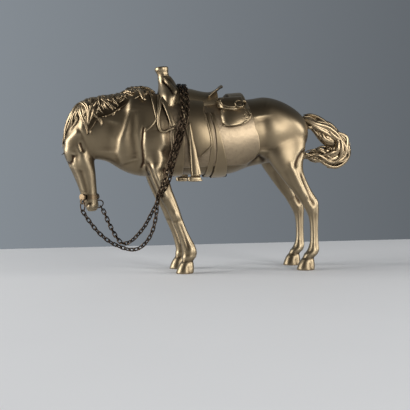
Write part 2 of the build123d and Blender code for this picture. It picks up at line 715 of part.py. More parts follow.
def chain_group(route, first, last, start_flip, side_at):
    """Links spaced along a route, each turned a quarter turn from the one before."""
    free = route.length - first - last
    count = round(free / link_pitch) + 1
    step = free / (count - 1)
    links = []
    for i in range(count):
        t = (first + i * step) / route.length
        along = route % t
        across = side_at(t)
        across = (across - along * across.dot(along)).normalized()
        lean = 1 if (i + start_flip) % 2 else -1
        facing = (across + along.cross(across) * lean).normalized()
        spot = Plane(origin=route @ t, x_dir=along, z_dir=facing)
        links.append(link_solid.moved(spot.location))
    print("chain", count, "links, pitch", round(step, 3), "route", round(route.length, 1))
    return links


first_reach = link_inner_length / 2 - ring_wire_radius - link_play / 2


def strand_edge(side_name, points):
    """The line one hanging strand follows from its ring to its hold."""
    foot, hold, across, wire_way = strands[side_name]
    way = [
        Vector(foot.X + (hold.X - foot.X) * s, foot.Y + (hold.Y - foot.Y) * s, barrel_z + dz)
        for s, dz in points
    ]
    with BuildLine() as strand_route:
        Spline(foot, *way, hold)
    return strand_route.edges()[0]


left_across = strands["left"][2]
left_group = chain_group(
    strand_edge("left", left_route), first_reach, link_pitch / 2, 0, lambda t: left_across
)
keep(Compound(children=left_group), "rein_chain_left")

# The rest of the chain climbs beside the saddle, crosses behind the fork and ends in a
# bight on the far side. Offsets are heights from the middle line.
chain_out = skirt_out + 1.8
lap = barrel_half + chain_out
climb_left = [
    (-45.1, -(fore_stance + 8.1), -44.4), (-43.6, -(fore_stance + 9.2), -40.6),
    (-40.2, -(fore_stance + 9.7), -33.0),
    (-37.4, -(barrel_half + 0.6), -23.0), (-34.4, -(barrel_half + 1.2), -13.0),
    (-31.4, -(barrel_half + 2.4), -3.0), (-28.4, -(lap - 1.2), 8.0), (-26.4, -(lap - 4.6), 16.5),
    (-25.6, -(lap - 9.2), 24.2), (-25.2, -(lap - 14.8), 31.4), (-25.2, -(lap - 21.4), 36.8),
    (-25.2, 0.0, 38.9), (-25.2, lap - 21.4, 36.8), (-25.6, lap - 14.8, 31.4),
    (-26.8, lap - 9.2, 24.2), (-28.6, lap - 5.0, 17.5),
]
climb_right = [
    (-43.4, -(fore_stance + 4.2), -44.5), (-40.2, -(fore_stance + 7.0), -40.6),
    (-36.6, -(fore_stance + 8.0), -33.0),
    (-33.8, -(barrel_half + 0.8), -23.0), (-31.0, -(barrel_half + 1.4), -13.0),
    (-27.8, -(barrel_half + 2.8), -3.0), (-24.8, -(lap - 0.8), 8.0), (-22.8, -(lap - 4.2), 16.5),
    (-21.9, -(lap - 8.8), 24.2), (-21.5, -(lap - 14.4), 31.2), (-21.5, -(lap - 21.4), 36.6),
    (-21.5, 0.0, 38.7), (-21.5, lap - 21.4, 36.6), (-21.2, lap - 14.4, 31.2),
    (-20.2, lap - 8.8, 24.2), (-18.4, lap - 4.8, 17.5),
]
bight = [
    (-29.2, lap - 3.4, 13.5), (-27.6, lap - 2.3, 10.0), (-23.5, lap - 1.9, 8.3),
    (-19.4, lap - 2.3, 10.0), (-17.8, lap - 3.4, 13.5),
]
loop_points = [hold_left]
loop_points += [Vector(x, y, barrel_z + dz) for x, y, dz in climb_left + bight]
loop_points += [Vector(x, y, barrel_z + dz) for x, y, dz in reversed(climb_right)]
loop_points += [hold_right]
with BuildLine() as loop_route:
    Spline(*loop_points)
saddle_route = loop_route.edges()[0]


def outward(t):
    """Away from the trunk's middle line at one share of the saddle route."""
    at = saddle_route @ t
    return Vector(0, at.Y, max(at.Z - barrel_z, 0) + 0.01)


saddle_group = chain_group(
    saddle_route, link_pitch / 2, link_pitch / 2, len(left_group), outward
)
keep(Compound(children=saddle_group), "rein_chain_saddle")

# The right strand turns evenly from its ring's wire to the saddle chain's last link.
right_edge = strand_edge("right", right_route)
right_count = round((right_edge.length - first_reach - link_pitch / 2) / link_pitch) + 1
ring_wire_way = strands["right"][3]
leaving = right_edge % (first_reach / right_edge.length)
turn_from = (ring_wire_way + leaving.cross(ring_wire_way)).normalized()
turn_to = Vector(0, -1, 0)
if (right_count + len(saddle_group) + len(left_group)) % 2:
    turn_to = (right_edge % 1).cross(turn_to).normalized()
if turn_from.dot(turn_to) < 0:
    turn_to = turn_to * -1
right_group = chain_group(
    right_edge, first_reach, link_pitch / 2, 0, lambda t: turn_from * (1 - t) + turn_to * t
)
keep(Compound(children=right_group), "rein_chain_right")

# --- Overall size ---
low = [min(tuple(part.bounding_box().min)[i] for _, part in pieces) for i in range(3)]
high = [max(tuple(part.bounding_box().max)[i] for _, part in pieces) for i in range(3)]
print("low", [round(v, 2) for v in low], "high", [round(v, 2) for v in high])
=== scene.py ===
import bpy
import math
import numpy as np
from mathutils import Matrix, Vector


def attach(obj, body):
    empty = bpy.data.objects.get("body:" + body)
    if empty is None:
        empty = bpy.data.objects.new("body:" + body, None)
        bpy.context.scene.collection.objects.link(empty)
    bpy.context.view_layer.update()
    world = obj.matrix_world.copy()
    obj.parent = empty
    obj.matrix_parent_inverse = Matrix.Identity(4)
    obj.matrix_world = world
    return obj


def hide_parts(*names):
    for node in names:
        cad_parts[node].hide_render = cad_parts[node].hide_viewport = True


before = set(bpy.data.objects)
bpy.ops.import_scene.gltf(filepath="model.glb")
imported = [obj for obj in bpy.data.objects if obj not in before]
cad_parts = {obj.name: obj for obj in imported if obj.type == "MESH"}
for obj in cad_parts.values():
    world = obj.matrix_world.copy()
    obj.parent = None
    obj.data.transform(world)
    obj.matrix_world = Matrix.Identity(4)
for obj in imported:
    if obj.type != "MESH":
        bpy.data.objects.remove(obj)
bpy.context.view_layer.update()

mm = 0.001  # shapes are worked out in millimetres and put into meshes in metres
ground = 104.0  # height of the trunk's middle line; side heights below count from it
scene = bpy.context.scene
print("frame loaded,", len(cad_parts), "nodes")


# camera

cameraSettings = {"place": (-0.1197, -0.5884, 0.072), "turn": 11.0, "tilt": 2.03, "roll": 0.45, "lens": 67.8}


def makeCamera(s):
    # look direction from turn and tilt, then the picture's up and right turned by the roll
    turn, tilt, roll = (math.radians(s[k]) for k in ("turn", "tilt", "roll"))
    flat = Vector((math.sin(turn), math.cos(turn), 0))
    look = flat * math.cos(tilt) - Vector((0, 0, 1)) * math.sin(tilt)
    right = look.cross(Vector((0, 0, 1))).normalized()
    up = right.cross(look)
    rightRolled = right * math.cos(roll) - up * math.sin(roll)
    upRolled = up * math.cos(roll) + right * math.sin(roll)
    data = bpy.data.cameras.new("camera")
    data.lens, data.sensor_width = s["lens"], 36
    data.clip_start, data.clip_end = 0.01, 20
    cam = bpy.data.objects.new("camera", data)
    turned = Matrix((rightRolled, upRolled, -look)).transposed().to_4x4()
    turned.translation = Vector(s["place"])
    cam.matrix_world = turned
    scene.collection.objects.link(cam)
    scene.camera = cam


makeCamera(cameraSettings)
print("camera")


# surfaces as numpy grids

def smoothPath(points, count):
    # Catmull-Rom curve through the points: each span is the cubic whose end slopes are half the step between its
    # neighbours
    p = np.asarray(points, float)
    p = np.vstack([2 * p[0] - p[1], p, 2 * p[-1] - p[-2]])
    t = np.linspace(0, len(p) - 3 - 1e-9, count)
    k = t.astype(int)
    f = (t - k)[:, None]
    a, b, c, d = p[k], p[k + 1], p[k + 2], p[k + 3]
    return 0.5 * (2 * b + (c - a) * f + (2 * a - 5 * b + 4 * c - d) * f**2 + (3 * b - a - 3 * c + d) * f**3)


def evenPath(points, count, smooth=True):
    # the same curve with its points moved to equal steps of length
    dense = smoothPath(points, 40 * len(points)) if smooth else np.asarray(points, float)
    run = np.r_[0, np.cumsum(np.linalg.norm(np.diff(dense, axis=0), axis=1))]
    at = np.linspace(0, run[-1], count)
    return np.stack([np.interp(at, run, dense[:, k]) for k in range(dense.shape[1])], -1)


def shellOf(rings):
    # closed skin over a stack of rings: quads between neighbours, a fan to the middle of each end ring
    n, m, _ = rings.shape
    points = np.vstack([rings.reshape(-1, 3), rings[0].mean(0), rings[-1].mean(0)])
    i, j = np.meshgrid(np.arange(n - 1), np.arange(m), indexing="ij")
    a, b = i * m + j, i * m + (j + 1) % m
    quads = np.stack([a, b, b + m, a + m], -1).reshape(-1, 4)
    j = np.arange(m)
    k = (j + 1) % m
    caps = np.vstack([
        np.stack([np.full(m, n * m), k, j], -1),
        np.stack([np.full(m, n * m + 1), (n - 1) * m + j, (n - 1) * m + k], -1),
    ])
    size = np.einsum("ij,ij->i", points[quads[:, 0]], np.cross(points[quads[:, 1]], points[quads[:, 2]]))
    size = size.sum() + np.einsum("ij,ij->i", points[quads[:, 0]],
                                  np.cross(points[quads[:, 2]], points[quads[:, 3]])).sum()
    size += np.einsum("ij,ij->i", points[caps[:, 0]], np.cross(points[caps[:, 1]], points[caps[:, 2]])).sum()
    if size < 0:
        quads, caps = quads[:, ::-1], caps[:, ::-1]
    return points, quads, caps


def joinShells(shells):
    # one list of points and faces for several closed skins
    points, quads, caps, start = [], [], [], 0
    for p, q, c in shells:
        points.append(p)
        quads.append(q + start)
        caps.append(c + start)
        start += len(p)
    return np.vstack(points), np.vstack(quads), np.vstack(caps)


def pieceOf(name, shells):
    # one smooth-shaded object from closed skins given in millimetres
    points, quads, caps = joinShells(shells)
    mesh = bpy.data.meshes.new(name)
    mesh.from_pydata((points * mm).tolist(), [], quads.tolist() + caps.tolist())
    mesh.shade_smooth()
    piece = bpy.data.objects.new(name, mesh)
    scene.collection.objects.link(piece)
    return piece


def ovalRings(centres, sideways, upwards, half, tall, count, power=2.0):
    # rings of |cos|^(2/power), |sin|^(2/power) in the plane of the two directions: an oval at power 2, squarer above
    a = np.linspace(0, 2 * np.pi, count, endpoint=False)
    c, s = np.cos(a), np.sin(a)
    c = np.sign(c) * np.abs(c) ** (2 / power)
    s = np.sign(s) * np.abs(s) ** (2 / power)
    half, tall = np.broadcast_to(half, len(centres)), np.broadcast_to(tall, len(centres))
    sideways, upwards = np.broadcast_to(sideways, centres.shape), np.broadcast_to(upwards, centres.shape)
    return (centres[:, None] + sideways[:, None] * (half[:, None] * c)[..., None]
            + upwards[:, None] * (tall[:, None] * s)[..., None])


def unit(v):
    # each row divided by its length
    return v / np.maximum(np.linalg.norm(v, axis=-1, keepdims=True), 1e-9)


def strandShell(path, facing, half, tall, count=12, ridges=0, ridgeDepth=0.18, power=2.0):
    # oval profile carried along a path, its flat side turned to the facing direction; ridges comb lines along it
    along = unit(np.gradient(path, axis=0))
    facing = np.broadcast_to(facing, path.shape)
    across = unit(np.cross(along, facing))
    up = np.cross(across, along)
    rings = ovalRings(path, across, up, half, tall, count, power)
    if ridges:
        a = np.linspace(0, 2 * np.pi, count, endpoint=False)
        comb = 1 - ridgeDepth * (0.5 - 0.5 * np.cos(ridges * a))
        rings = path[:, None] + (rings - path[:, None]) * comb[None, :, None]
    return shellOf(rings)


def taper(t, root=0.35, tip=0.12, full=0.35):
    # thickness along a lock: swells from the root, then thins to the tip
    swell = root + (1 - root) * np.sin(np.clip(t / full, 0, 1) * np.pi / 2)
    thin = 1 - (1 - tip) * np.clip((t - full) / (1 - full), 0, 1) ** 1.6
    return swell * thin


# the horse's forms

trunk = {
    "half": 24.5,
    # x, lowest, highest, share of the half width, how far the middle lies to the horse's right
    "stations": [
        (-101, -3, 20, 0.30, 3.4), (-97, -12, 24, 0.42, 3.0), (-90, -17, 26.4, 0.50, 2.4),
        (-80, -19.5, 28.2, 0.56, 1.4),
        (-70, -25.6, 29.8, 0.64, 0.5), (-61, -29.3, 34.4, 0.74, 0), (-52, -31, 34.6, 0.83, 0),
        (-42, -30.6, 32, 0.89, 0),
        (-30, -29.2, 29.6, 0.93, 0), (-14, -29.8, 27.4, 0.98, 0), (2, -30.3, 26.6, 1.0, 0), (16, -28.6, 27.6, 0.98, 0),
        (30, -23.6, 28.8, 0.93, 0), (42, -21.4, 30.5, 0.91, 0), (54, -19.4, 28, 0.87, 0), (65, -15.6, 22.4, 0.74, 0),
        (72.5, -11, 16, 0.54, 0), (77, -4, 8, 0.22, 0),
    ],
}
trunkDense = smoothPath(trunk["stations"], 500)


def trunkPoint(x, theta, out):
    # oval section at x, theta 0 at the back's line and growing to the horse's right, pushed out all round
    low, high, share, shift = (np.interp(x, trunkDense[:, 0], trunkDense[:, k]) for k in range(1, 5))
    wide, tall = trunk["half"] * share + out, (high - low) / 2 + out
    return np.stack(np.broadcast_arrays(x, shift + wide * np.sin(theta),
                                        ground + (low + high) / 2 + tall * np.cos(theta)), -1)


def flankPoint(x, dz, out, side):
    # the same surface by side-view height: theta is the angle whose cosine is the height's share of the section
    low, high = (np.interp(x, trunkDense[:, 0], trunkDense[:, k]) for k in (1, 2))
    share = (dz - (low + high) / 2) / ((high - low) / 2 + out)
    return trunkPoint(x, side * np.arccos(np.clip(share, -1, 1)), out)


head = {
    "turn": 40.0,
    # height, x, y, half depth towards the face, half width
    "stations": [
        (26.5, -93, 4.6, 4.2, 3.4), (23, -94.8, 4.8, 7.6, 6.2), (14, -97.4, 5, 10.6, 8.2), (3, -100, 5, 11.6, 9.0),
        (-8, -101.4, 5, 11.8, 9.0), (-18, -100.8, 5, 11.2, 7.8), (-28, -97.8, 5, 9.8, 6.6), (-38, -95.4, 5, 7.8, 5.6),
        (-47, -93.6, 5, 6.3, 5.4), (-53, -92.4, 5, 5.2, 5.2), (-57, -92.2, 5, 3.0, 3.4),
    ],
}
turnAngle = math.radians(head["turn"])
faceDir = np.array([-math.cos(turnAngle), math.sin(turnAngle), 0])
leftDir = np.array([-math.sin(turnAngle), -math.cos(turnAngle), 0])
headDense = smoothPath(head["stations"], 300)[::-1]


def headPoint(angle, dz, out):
    # oval section at a height, angle 0 at the face's middle and growing round the left cheek
    x, y, deep, wide = (np.interp(dz, headDense[:, 0], headDense[:, k]) for k in range(1, 5))
    centre = np.stack(np.broadcast_arrays(x, y, ground + dz), -1)
    return centre + faceDir * ((deep + out) * np.cos(angle))[..., None] + leftDir * ((wide + out) * np.sin(angle))[...,
            None]


legs = {
    "hoofHeight": 9.2, "hoofHalf": 6.2, "foreStance": 16.5, "hindStance": 18.0,
    # share of the height from hoof to trunk middle, front x, rear x, half width, how far inward
    "fore": [
        (0.93, -53, -34.5, 6.2, 4), (0.83, -53, -35.2, 7.2, 3), (0.75, -52, -35.8, 7.4, 2.2),
        (0.67, -49.6, -35.7, 6.9, 1.4),
        (0.57, -45.6, -33.4, 5.8, 0.8), (0.48, -41.4, -30.2, 4.9, 0.4), (0.41, -37.6, -27.9, 4.7, 0.2),
        (0.34, -34.9, -25.8, 4.3, 0), (0.26, -31.6, -22.9, 3.7, 0), (0.19, -28.9, -19.8, 3.5, 0),
        (0.12, -27, -16.2, 4.0, 0),
        (0.06, -26, -15, 4.4, 0), (0.02, -26.4, -16.9, 4.2, 0), (0, -27.2, -17.8, 4.3, 0),
    ],
    "hind": [
        (0.97, 43.5, 72.5, 7.6, 6.4), (0.87, 40.5, 72, 8.4, 5), (0.76, 44, 69.6, 7.6, 3.6),
        (0.69, 49.2, 69.8, 7.0, 2.6),
        (0.62, 54.4, 72.2, 6.2, 1.6), (0.55, 59.6, 75.4, 5.4, 0.8), (0.48, 65, 79.4, 4.7, 0.3),
        (0.41, 69.2, 80.9, 4.5, 0),
        (0.33, 72.9, 80.7, 3.7, 0), (0.22, 74, 80.4, 3.3, 0), (0.12, 73.6, 80.7, 3.6, 0), (0.06, 71.4, 80.8, 4.3, 0),
        (0.02, 68.6, 78.2, 4.2, 0), (0, 67, 76.8, 4.3, 0),
    ],
    "foreGround": (-31.4, -17.6), "hindGround": (62.9, 77.4),
}


def legShells(form, stance, onGround, side):
    # oval rings down the leg table; the hoof flares from its last ring to the toe and heel on the ground
    s = smoothPath(form, 90)
    z = legs["hoofHeight"] + s[:, 0] * (ground - legs["hoofHeight"])
    centres = np.stack([(s[:, 1] + s[:, 2]) / 2, side * (stance - s[:, 4]), z], -1)
    leg = ovalRings(centres, (1, 0, 0), (0, 1, 0), (s[:, 2] - s[:, 1]) / 2, s[:, 3], 36, 2.15)
    h = np.linspace(0, 1, 14)
    flare = 1 - h
    front = form[-1][1] + (onGround[0] - form[-1][1]) * flare - 0.5 * np.sin(np.pi * h)
    rear = form[-1][2] + (onGround[1] - form[-1][2]) * flare + 0.3 * np.sin(np.pi * h)
    half = form[-1][3] + (legs["hoofHalf"] - form[-1][3]) * flare
    centres = np.stack([(front + rear) / 2, np.full(14, side * stance), legs["hoofHeight"] * h], -1)
    hoof = ovalRings(centres, (1, 0, 0), (0, 1, 0), (rear - front) / 2, half, 36, 2.2)
    return [shellOf(leg), shellOf(hoof)]


def bodyShells():
    # trunk and neck, head, and four legs with hooves as closed overlapping skins
    x = trunkDense[::5, 0]
    theta = np.linspace(0, 2 * np.pi, 72, endpoint=False)
    made = [shellOf(trunkPoint(x[:, None], theta[None, :], 0.0))]
    dz = headDense[::3, 0]
    made.append(shellOf(headPoint(theta[None, ::2], dz[:, None], 0.0)))
    for side in (-1, 1):
        made += legShells(legs["fore"], legs["foreStance"], legs["foreGround"], side)
        made += legShells(legs["hind"], legs["hindStance"], legs["hindGround"], side)
    return made


def skinned(piece, voxel):
    # one skin round all the overlapping forms, from a voxel remesh
    remesh = piece.modifiers.new("skin", "REMESH")
    remesh.mode, remesh.voxel_size = "VOXEL", voxel * mm
    made = bpy.data.meshes.new_from_object(piece.evaluated_get(bpy.context.evaluated_depsgraph_get()))
    piece.modifiers.clear()
    piece.data = made
    made.shade_smooth()


def meshPoints(mesh):
    flat = np.empty(len(mesh.vertices) * 3, np.float32)
    mesh.vertices.foreach_get("co", flat)
    return flat.reshape(-1, 3).astype(float) / mm


def meshNormals(mesh):
    flat = np.empty(len(mesh.vertices) * 3, np.float32)
    mesh.vertices.foreach_get("normal", flat)
    return flat.reshape(-1, 3).astype(float)


def setPoints(mesh, points):
    mesh.vertices.foreach_set("co", (points * mm).astype(np.float32).ravel())
    mesh.update()


def meshEdges(mesh):
    flat = np.empty(len(mesh.edges) * 2, np.int32)
    mesh.edges.foreach_get("vertices", flat)
    return flat.reshape(-1, 2)


def relaxed(points, edges, rounds, strength=0.5):
    # each point moves part of the way to the mean of its neighbours
    a, b = edges.T
    count = np.bincount(a, minlength=len(points)) + np.bincount(b, minlength=len(points))
    for _ in range(rounds):
        mean = np.stack([
            (np.bincount(a, points[b, k], len(points)) + np.bincount(b, points[a, k],
                    len(points))) / count for k in range(3)
        ], -1)
        points = points + (mean - points) * strength
    return points


def markHollows(mesh, rounds=(3, 14), size=(0.10, 0.45)):
    # attribute "hollow": how far the relaxed surface lies outside the real one, positive in creases, negative on edges
    points, normals, edges = meshPoints(mesh), meshNormals(mesh), meshEdges(mesh)
    value = np.zeros(len(points))
    for steps, reach in zip(rounds, size):
        away = np.einsum("ij,ij->i", relaxed(points, edges, steps) - points, normals)
        value += np.tanh(away / reach)
    attribute = mesh.attributes.get("hollow") or mesh.attributes.new("hollow", "FLOAT", "POINT")
    attribute.data.foreach_set("value", np.clip(value / 1.4, -1, 1).astype(np.float32))


def polylineDistance(a, b, path):
    # distance to the nearest stretch, which side of it (positive to its left), and the share of the way along
    path = np.asarray(path, float)
    best, signed, share = np.full(a.shape, 1e9), np.zeros(a.shape), np.zeros(a.shape)
    runs = np.linalg.norm(np.diff(path, axis=0), axis=1)
    before = np.r_[0, np.cumsum(runs)]
    for k, run in enumerate(runs):
        d = (path[k + 1] - path[k]) / run
        pa, pb = a - path[k, 0], b - path[k, 1]
        t = np.clip(pa * d[0] + pb * d[1], 0, run)
        gap = np.hypot(pa - t * d[0], pb - t * d[1])
        nearer = gap < best
        best = np.where(nearer, gap, best)
        signed = np.where(nearer, np.sign(d[0] * pb - d[1] * pa), signed)
        share = np.where(nearer, (before[k] + t) / before[-1], share)
    return best, signed, share


def strokeHeight(a, b, stroke):
    # ridge or groove: bell curve of the distance; edge: a smooth step up to one side that falls away behind it
    if "at" in stroke:
        gap = ((a - stroke["at"][0]) / stroke["size"][0]) ** 2 + ((b - stroke["at"][1]) / stroke["size"][1]) ** 2
        return stroke["high"] * np.exp(-gap)
    gap, signed, share = polylineDistance(a, b, stroke["path"])
    ends = np.clip(share / 0.12, 0, 1) * np.clip((1 - share) / 0.12, 0, 1)
    ends = 0.15 + 0.85 * np.sqrt(ends)
    if "reach" in stroke:
        d = gap * signed * stroke.get("toward", 1)
        step = 0.5 + 0.5 * np.tanh(d / stroke["wide"])
        return stroke["high"] * step * np.exp(-np.maximum(d, 0) / stroke["reach"]) * ends * (gap < 4 * stroke["reach"])
    return stroke["high"] * np.exp(-((gap / stroke["wide"]) ** 2)) * ends


def trace(high, wide, *path, **more):
    # a stroke along a path
    return {"path": path, "high": high, "wide": wide, **more}


def mound(high, size, at):
    # a round swelling or dent
    return {"at": at, "size": size, "high": high}


muscles = {  # side-view strokes, the same on both flanks: x and height from the trunk's middle line
    "neck base": trace(2.1, 1.9, (-63.5, 29), (-65.8, 15), (-68.6, 4.6), (-72.0, -3.6), (-73.4, -13), (-70.6, -22),
                       reach=9.0),
    "neck hollow": trace(-1.0, 6.0, (-77, 10), (-80.5, -2), (-81, -12)),
    "breast hollow": trace(-1.5, 4.2, (-62.5, 18), (-63.5, 0), (-61, -18)),
    "shoulder crease": trace(-1.1, 1.2, (-54.6, 6), (-55.4, 0.5), (-55.8, -7.6), (-55.0, -15), (-54.6, -20),
                             (-56, -24.5)),
    "shoulder front": trace(0.9, 1.6, (-54.2, 5), (-54.9, -7.6), (-54.2, -15), (-53.8, -21), reach=7.0),
    "shoulder": mound(1.2, (8, 15), (-47, -10)),
    "shoulder rear": trace(1.7, 1.7, (-40.2, 3), (-38.9, -7.7), (-42.3, -12.3), (-39.8, -18), (-42.3, -24), (-46, -28),
                           reach=7.0, toward=-1),
    "forearm front": trace(0.7, 2.0, (-54.6, -22), (-52.6, -29), (-49.7, -34.9), (-46.8, -41), (-42, -50)),
    "forearm gap": trace(-1.1, 1.4, (-51.5, -20), (-49.2, -29.7), (-45.5, -38), (-41, -47)),
    "forearm": trace(1.0, 1.8, (-47.6, -22), (-45.4, -30.5), (-42, -38), (-38, -48)),
    "elbow": trace(-1.2, 1.8, (-40, -24), (-38.6, -31), (-36.4, -37)),
    "knee": mound(0.7, (3.0, 3.6), (-31.5, -59.5)),
    "under knee": trace(-0.4, 1.2, (-34.5, -65.5), (-26, -63.5)),
    "fore tendon": trace(-0.65, 0.9, (-28.6, -65), (-25, -75), (-21.8, -86)),
    "fore fetlock": mound(0.6, (3.6, 3.4), (-19, -86)),
    "belly": trace(0.5, 4.0, (-20, -27), (5, -28), (25, -24)),
    "flank fold": trace(-2.0, 2.2, (27, -24.5), (34.7, -17.2), (41, -20.5)),
    "flank": trace(-1.3, 5.5, (35, 14), (37, 0), (38, -12)),
    "haunch": mound(0.9, (17, 15), (57, 4)),
    "stifle": mound(0.6, (8, 10), (46, -14)),
    "point of hip": trace(0.8, 4.5, (40, 24), (52, 17), (64, 8), (72, 0)),
    "buttock crease": trace(-1.2, 1.5, (60, -25), (64.2, -16.8), (67.8, -13), (73, -10.6)),
    "gaskin": trace(0.8, 2.6, (57.6, -20), (61.4, -29.8), (64.6, -37.5), (70, -48.8)),
    "gaskin rear": trace(-0.9, 1.3, (66, -29), (68.6, -37.5), (72.9, -48.8), (76.4, -54.5)),
    "gaskin front": trace(-0.5, 1.8, (52.5, -27), (60, -42), (67, -53)),
    "hock": mound(0.7, (3.2, 3.6), (79.5, -51)),
    "hind tendon": trace(-0.55, 0.9, (76.8, -60), (77.6, -74), (77.4, -88)),
    "hind fetlock": mound(0.5, (3.6, 3.4), (77.5, -88)),
}
hoofMarks = {  # the same, but all round the leg
    "fore coronet": trace(-0.55, 0.7, (-34, -94.2), (-12, -95.2)),
    "fore pastern": trace(0.45, 1.2, (-33, -91.6), (-12, -91.6)),
    "fore heel": trace(-0.4, 0.9, (-22.6, -98), (-22.0, -104)),
    "hind coronet": trace(-0.55, 0.7, (60, -94.2), (82, -95.2)),
    "hind pastern": trace(0.45, 1.2, (61, -91.6), (81, -91.6)),
    "hind heel": trace(-0.4, 0.9, (72.2, -98), (72.8, -104)),
}
headMarks = {  # on both cheeks: distance towards the face and height
    "temple": mound(1.2, (5.0, 6.0), (-6.5, 5)),
    "brow": trace(1.0, 3.2, (-5.5, 3), (0, -1), (6, -5)),
    "orbit": mound(2.2, (5.4, 6.6), (4.0, -11.5)),
    "under orbit": trace(-1.5, 1.5, (9.6, -19.8), (5.6, -20.8), (1.6, -19.0), (-1.2, -14)),
    "eye hollow": mound(-1.0, (2.6, 4.0), (-3.4, -15.5)),
    "eye": mound(0.7, (1.6, 1.1), (-2.2, -13.2)),
    "jaw crease": trace(-1.0, 1.1, (-6.6, -5), (-7.8, -9), (-8.6, -12.5)),
    "jaw": mound(0.9, (4, 7), (-8, -18)),
    "face crest": trace(0.5, 2.0, (1.5, -23), (0.5, -32), (0.2, -42)),
    "cheek hollow": trace(-0.6, 2.2, (-3.0, -25), (-2.6, -34), (-1.8, -43)),
    "nostril": mound(-1.2, (1.2, 1.4), (2.6, -50.6)),
    "nostril rim": trace(0.5, 0.8, (1.0, -49.4), (2.4, -48.4), (4.2, -49.2)),
    "mouth": trace(-0.9, 0.6, (4.8, -54.0), (1.0, -52.6), (-3.6, -50.2)),
    "chin": mound(0.6, (2.4, 2.2), (-2.6, -53.6)),
}


# where the haunch, the shoulder and the head flow into the trunk: middle x, middle height, reach in x and height, share
softJoins = [(57, -13, 17, 15, 1), (-46, -20, 13, 11, 1), (-88, -2, 9, 16, 0.9)]


def sculpt(mesh):
    # every stroke's height is added along the surface's own direction, fading where it faces away from the side
    points, normals, edges = meshPoints(mesh), meshNormals(mesh), meshEdges(mesh)
    points = relaxed(points, edges, 6)
    x, dz = points[:, 0], points[:, 2] - ground
    joins = sum(share * np.exp(-(((x - midX) / long) ** 4) - ((dz - midZ) / tall) ** 4)
                for midX, midZ, long, tall, share in softJoins)
    points += (relaxed(points, edges, 90) - points) * np.clip(joins, 0, 1)[:, None]
    level = [np.interp(dz, headDense[:, 0], headDense[:, k]) for k in range(1, 5)]
    dx, dy = x - level[0], points[:, 1] - level[1]
    towardFace = dx * faceDir[0] + dy * faceDir[1]
    towardLeft = dx * leftDir[0] + dy * leftDir[1]
    radial = np.hypot(towardFace / (level[2] + 0.8), towardLeft / (level[3] + 0.8))
    onHead = np.clip((1.22 - radial) / 0.16, 0, 1) * (dz > -60) * (dz < 26)
    sideways = np.clip((np.abs(normals[:, 1]) - 0.1) / 0.5, 0, 1)
    lift = sum(strokeHeight(x, dz, s) for s in muscles.values()) * sideways * (1 - onHead)
    lift += sum(strokeHeight(x, dz, s) for s in hoofMarks.values()) * (dz < -86)
    cheek = np.clip((np.abs(normals @ leftDir) - 0.15) / 0.45, 0, 1)
    lift += sum(strokeHeight(towardFace, dz, s) for s in headMarks.values()) * cheek * onHead
    points = relaxed(points + normals * lift[:, None], edges, 2)
    points[:, 2] = np.maximum(points[:, 2], 0)
    setPoints(mesh, points)
    markHollows(mesh)


horse = pieceOf("horse", bodyShells())
skinned(horse, 0.8)
sculpt(horse.data)
print("horse skin,", len(horse.data.vertices), "points")


# ears

ears = {"length": 13.5, "half": 3.1, "leftRoot": (-97.6, -4.2, 10.5), "leftTip": (-92.4, -8.0, 22.5),
        "rightRoot": (-91.6, 12.4, 10.5), "rightTip": (-86.0, 14.6, 21.5)}


def earShell(root, tip, outward):
    # a cupped leaf: width swells then points, the cup is a valley pressed into the outer face
    t = np.linspace(0, 1, 26)
    root, tip, outward = (np.asarray(v, float) for v in (root, tip, outward))
    path = root + (tip - root) * t[:, None] + outward * (1.4 * np.sin(np.pi * t))[:, None]
    half = ears["half"] * np.sin(np.pi * (0.12 + 0.88 * t) ** 0.8) ** 0.8 + 0.15
    along = unit(tip - root)
    across = unit(np.cross(along, outward))
    rings = ovalRings(path + [0, 0, ground], across, outward, half, 0.9 + 0.6 * (1 - t), 24)
    a = np.linspace(0, 2 * np.pi, 24, endpoint=False)
    cup = np.clip(np.sin(a), 0, 1) ** 1.2 * 1.5
    rings -= outward * (cup[None, :] * np.sin(np.pi * t)[:, None])[..., None]
    return shellOf(rings)


earPiece = pieceOf("ears", [
    earShell(ears["leftRoot"], ears["leftTip"], unit(np.array([-0.75, -0.66, 0.1]))),
    earShell(ears["rightRoot"], ears["rightTip"], unit(np.array([-0.1, 1.0, 0.15]))),
])
markHollows(earPiece.data)


# mane, forelock and tail

mane = {
    "seed": 7,
    "locks": 46,
    "half": 3.2,
    "crest": {"locks": 22, "from": -99, "step": 2.35, "half": 1.7, "tall": 1.15},
    # root x, tip x, tip height: where the mane's lower line runs
    "line": [(-97, -95.6, 0.5), (-94, -93, 4), (-91, -90, 9), (-88, -86.4, 14), (-84, -82, 14.6), (-79, -76.4, 15.4),
             (-74, -71.6, 20), (-69, -66, 24), (-63, -60, 28), (-57, -54.6, 30), (-51, -47.6, 30.5)],
}


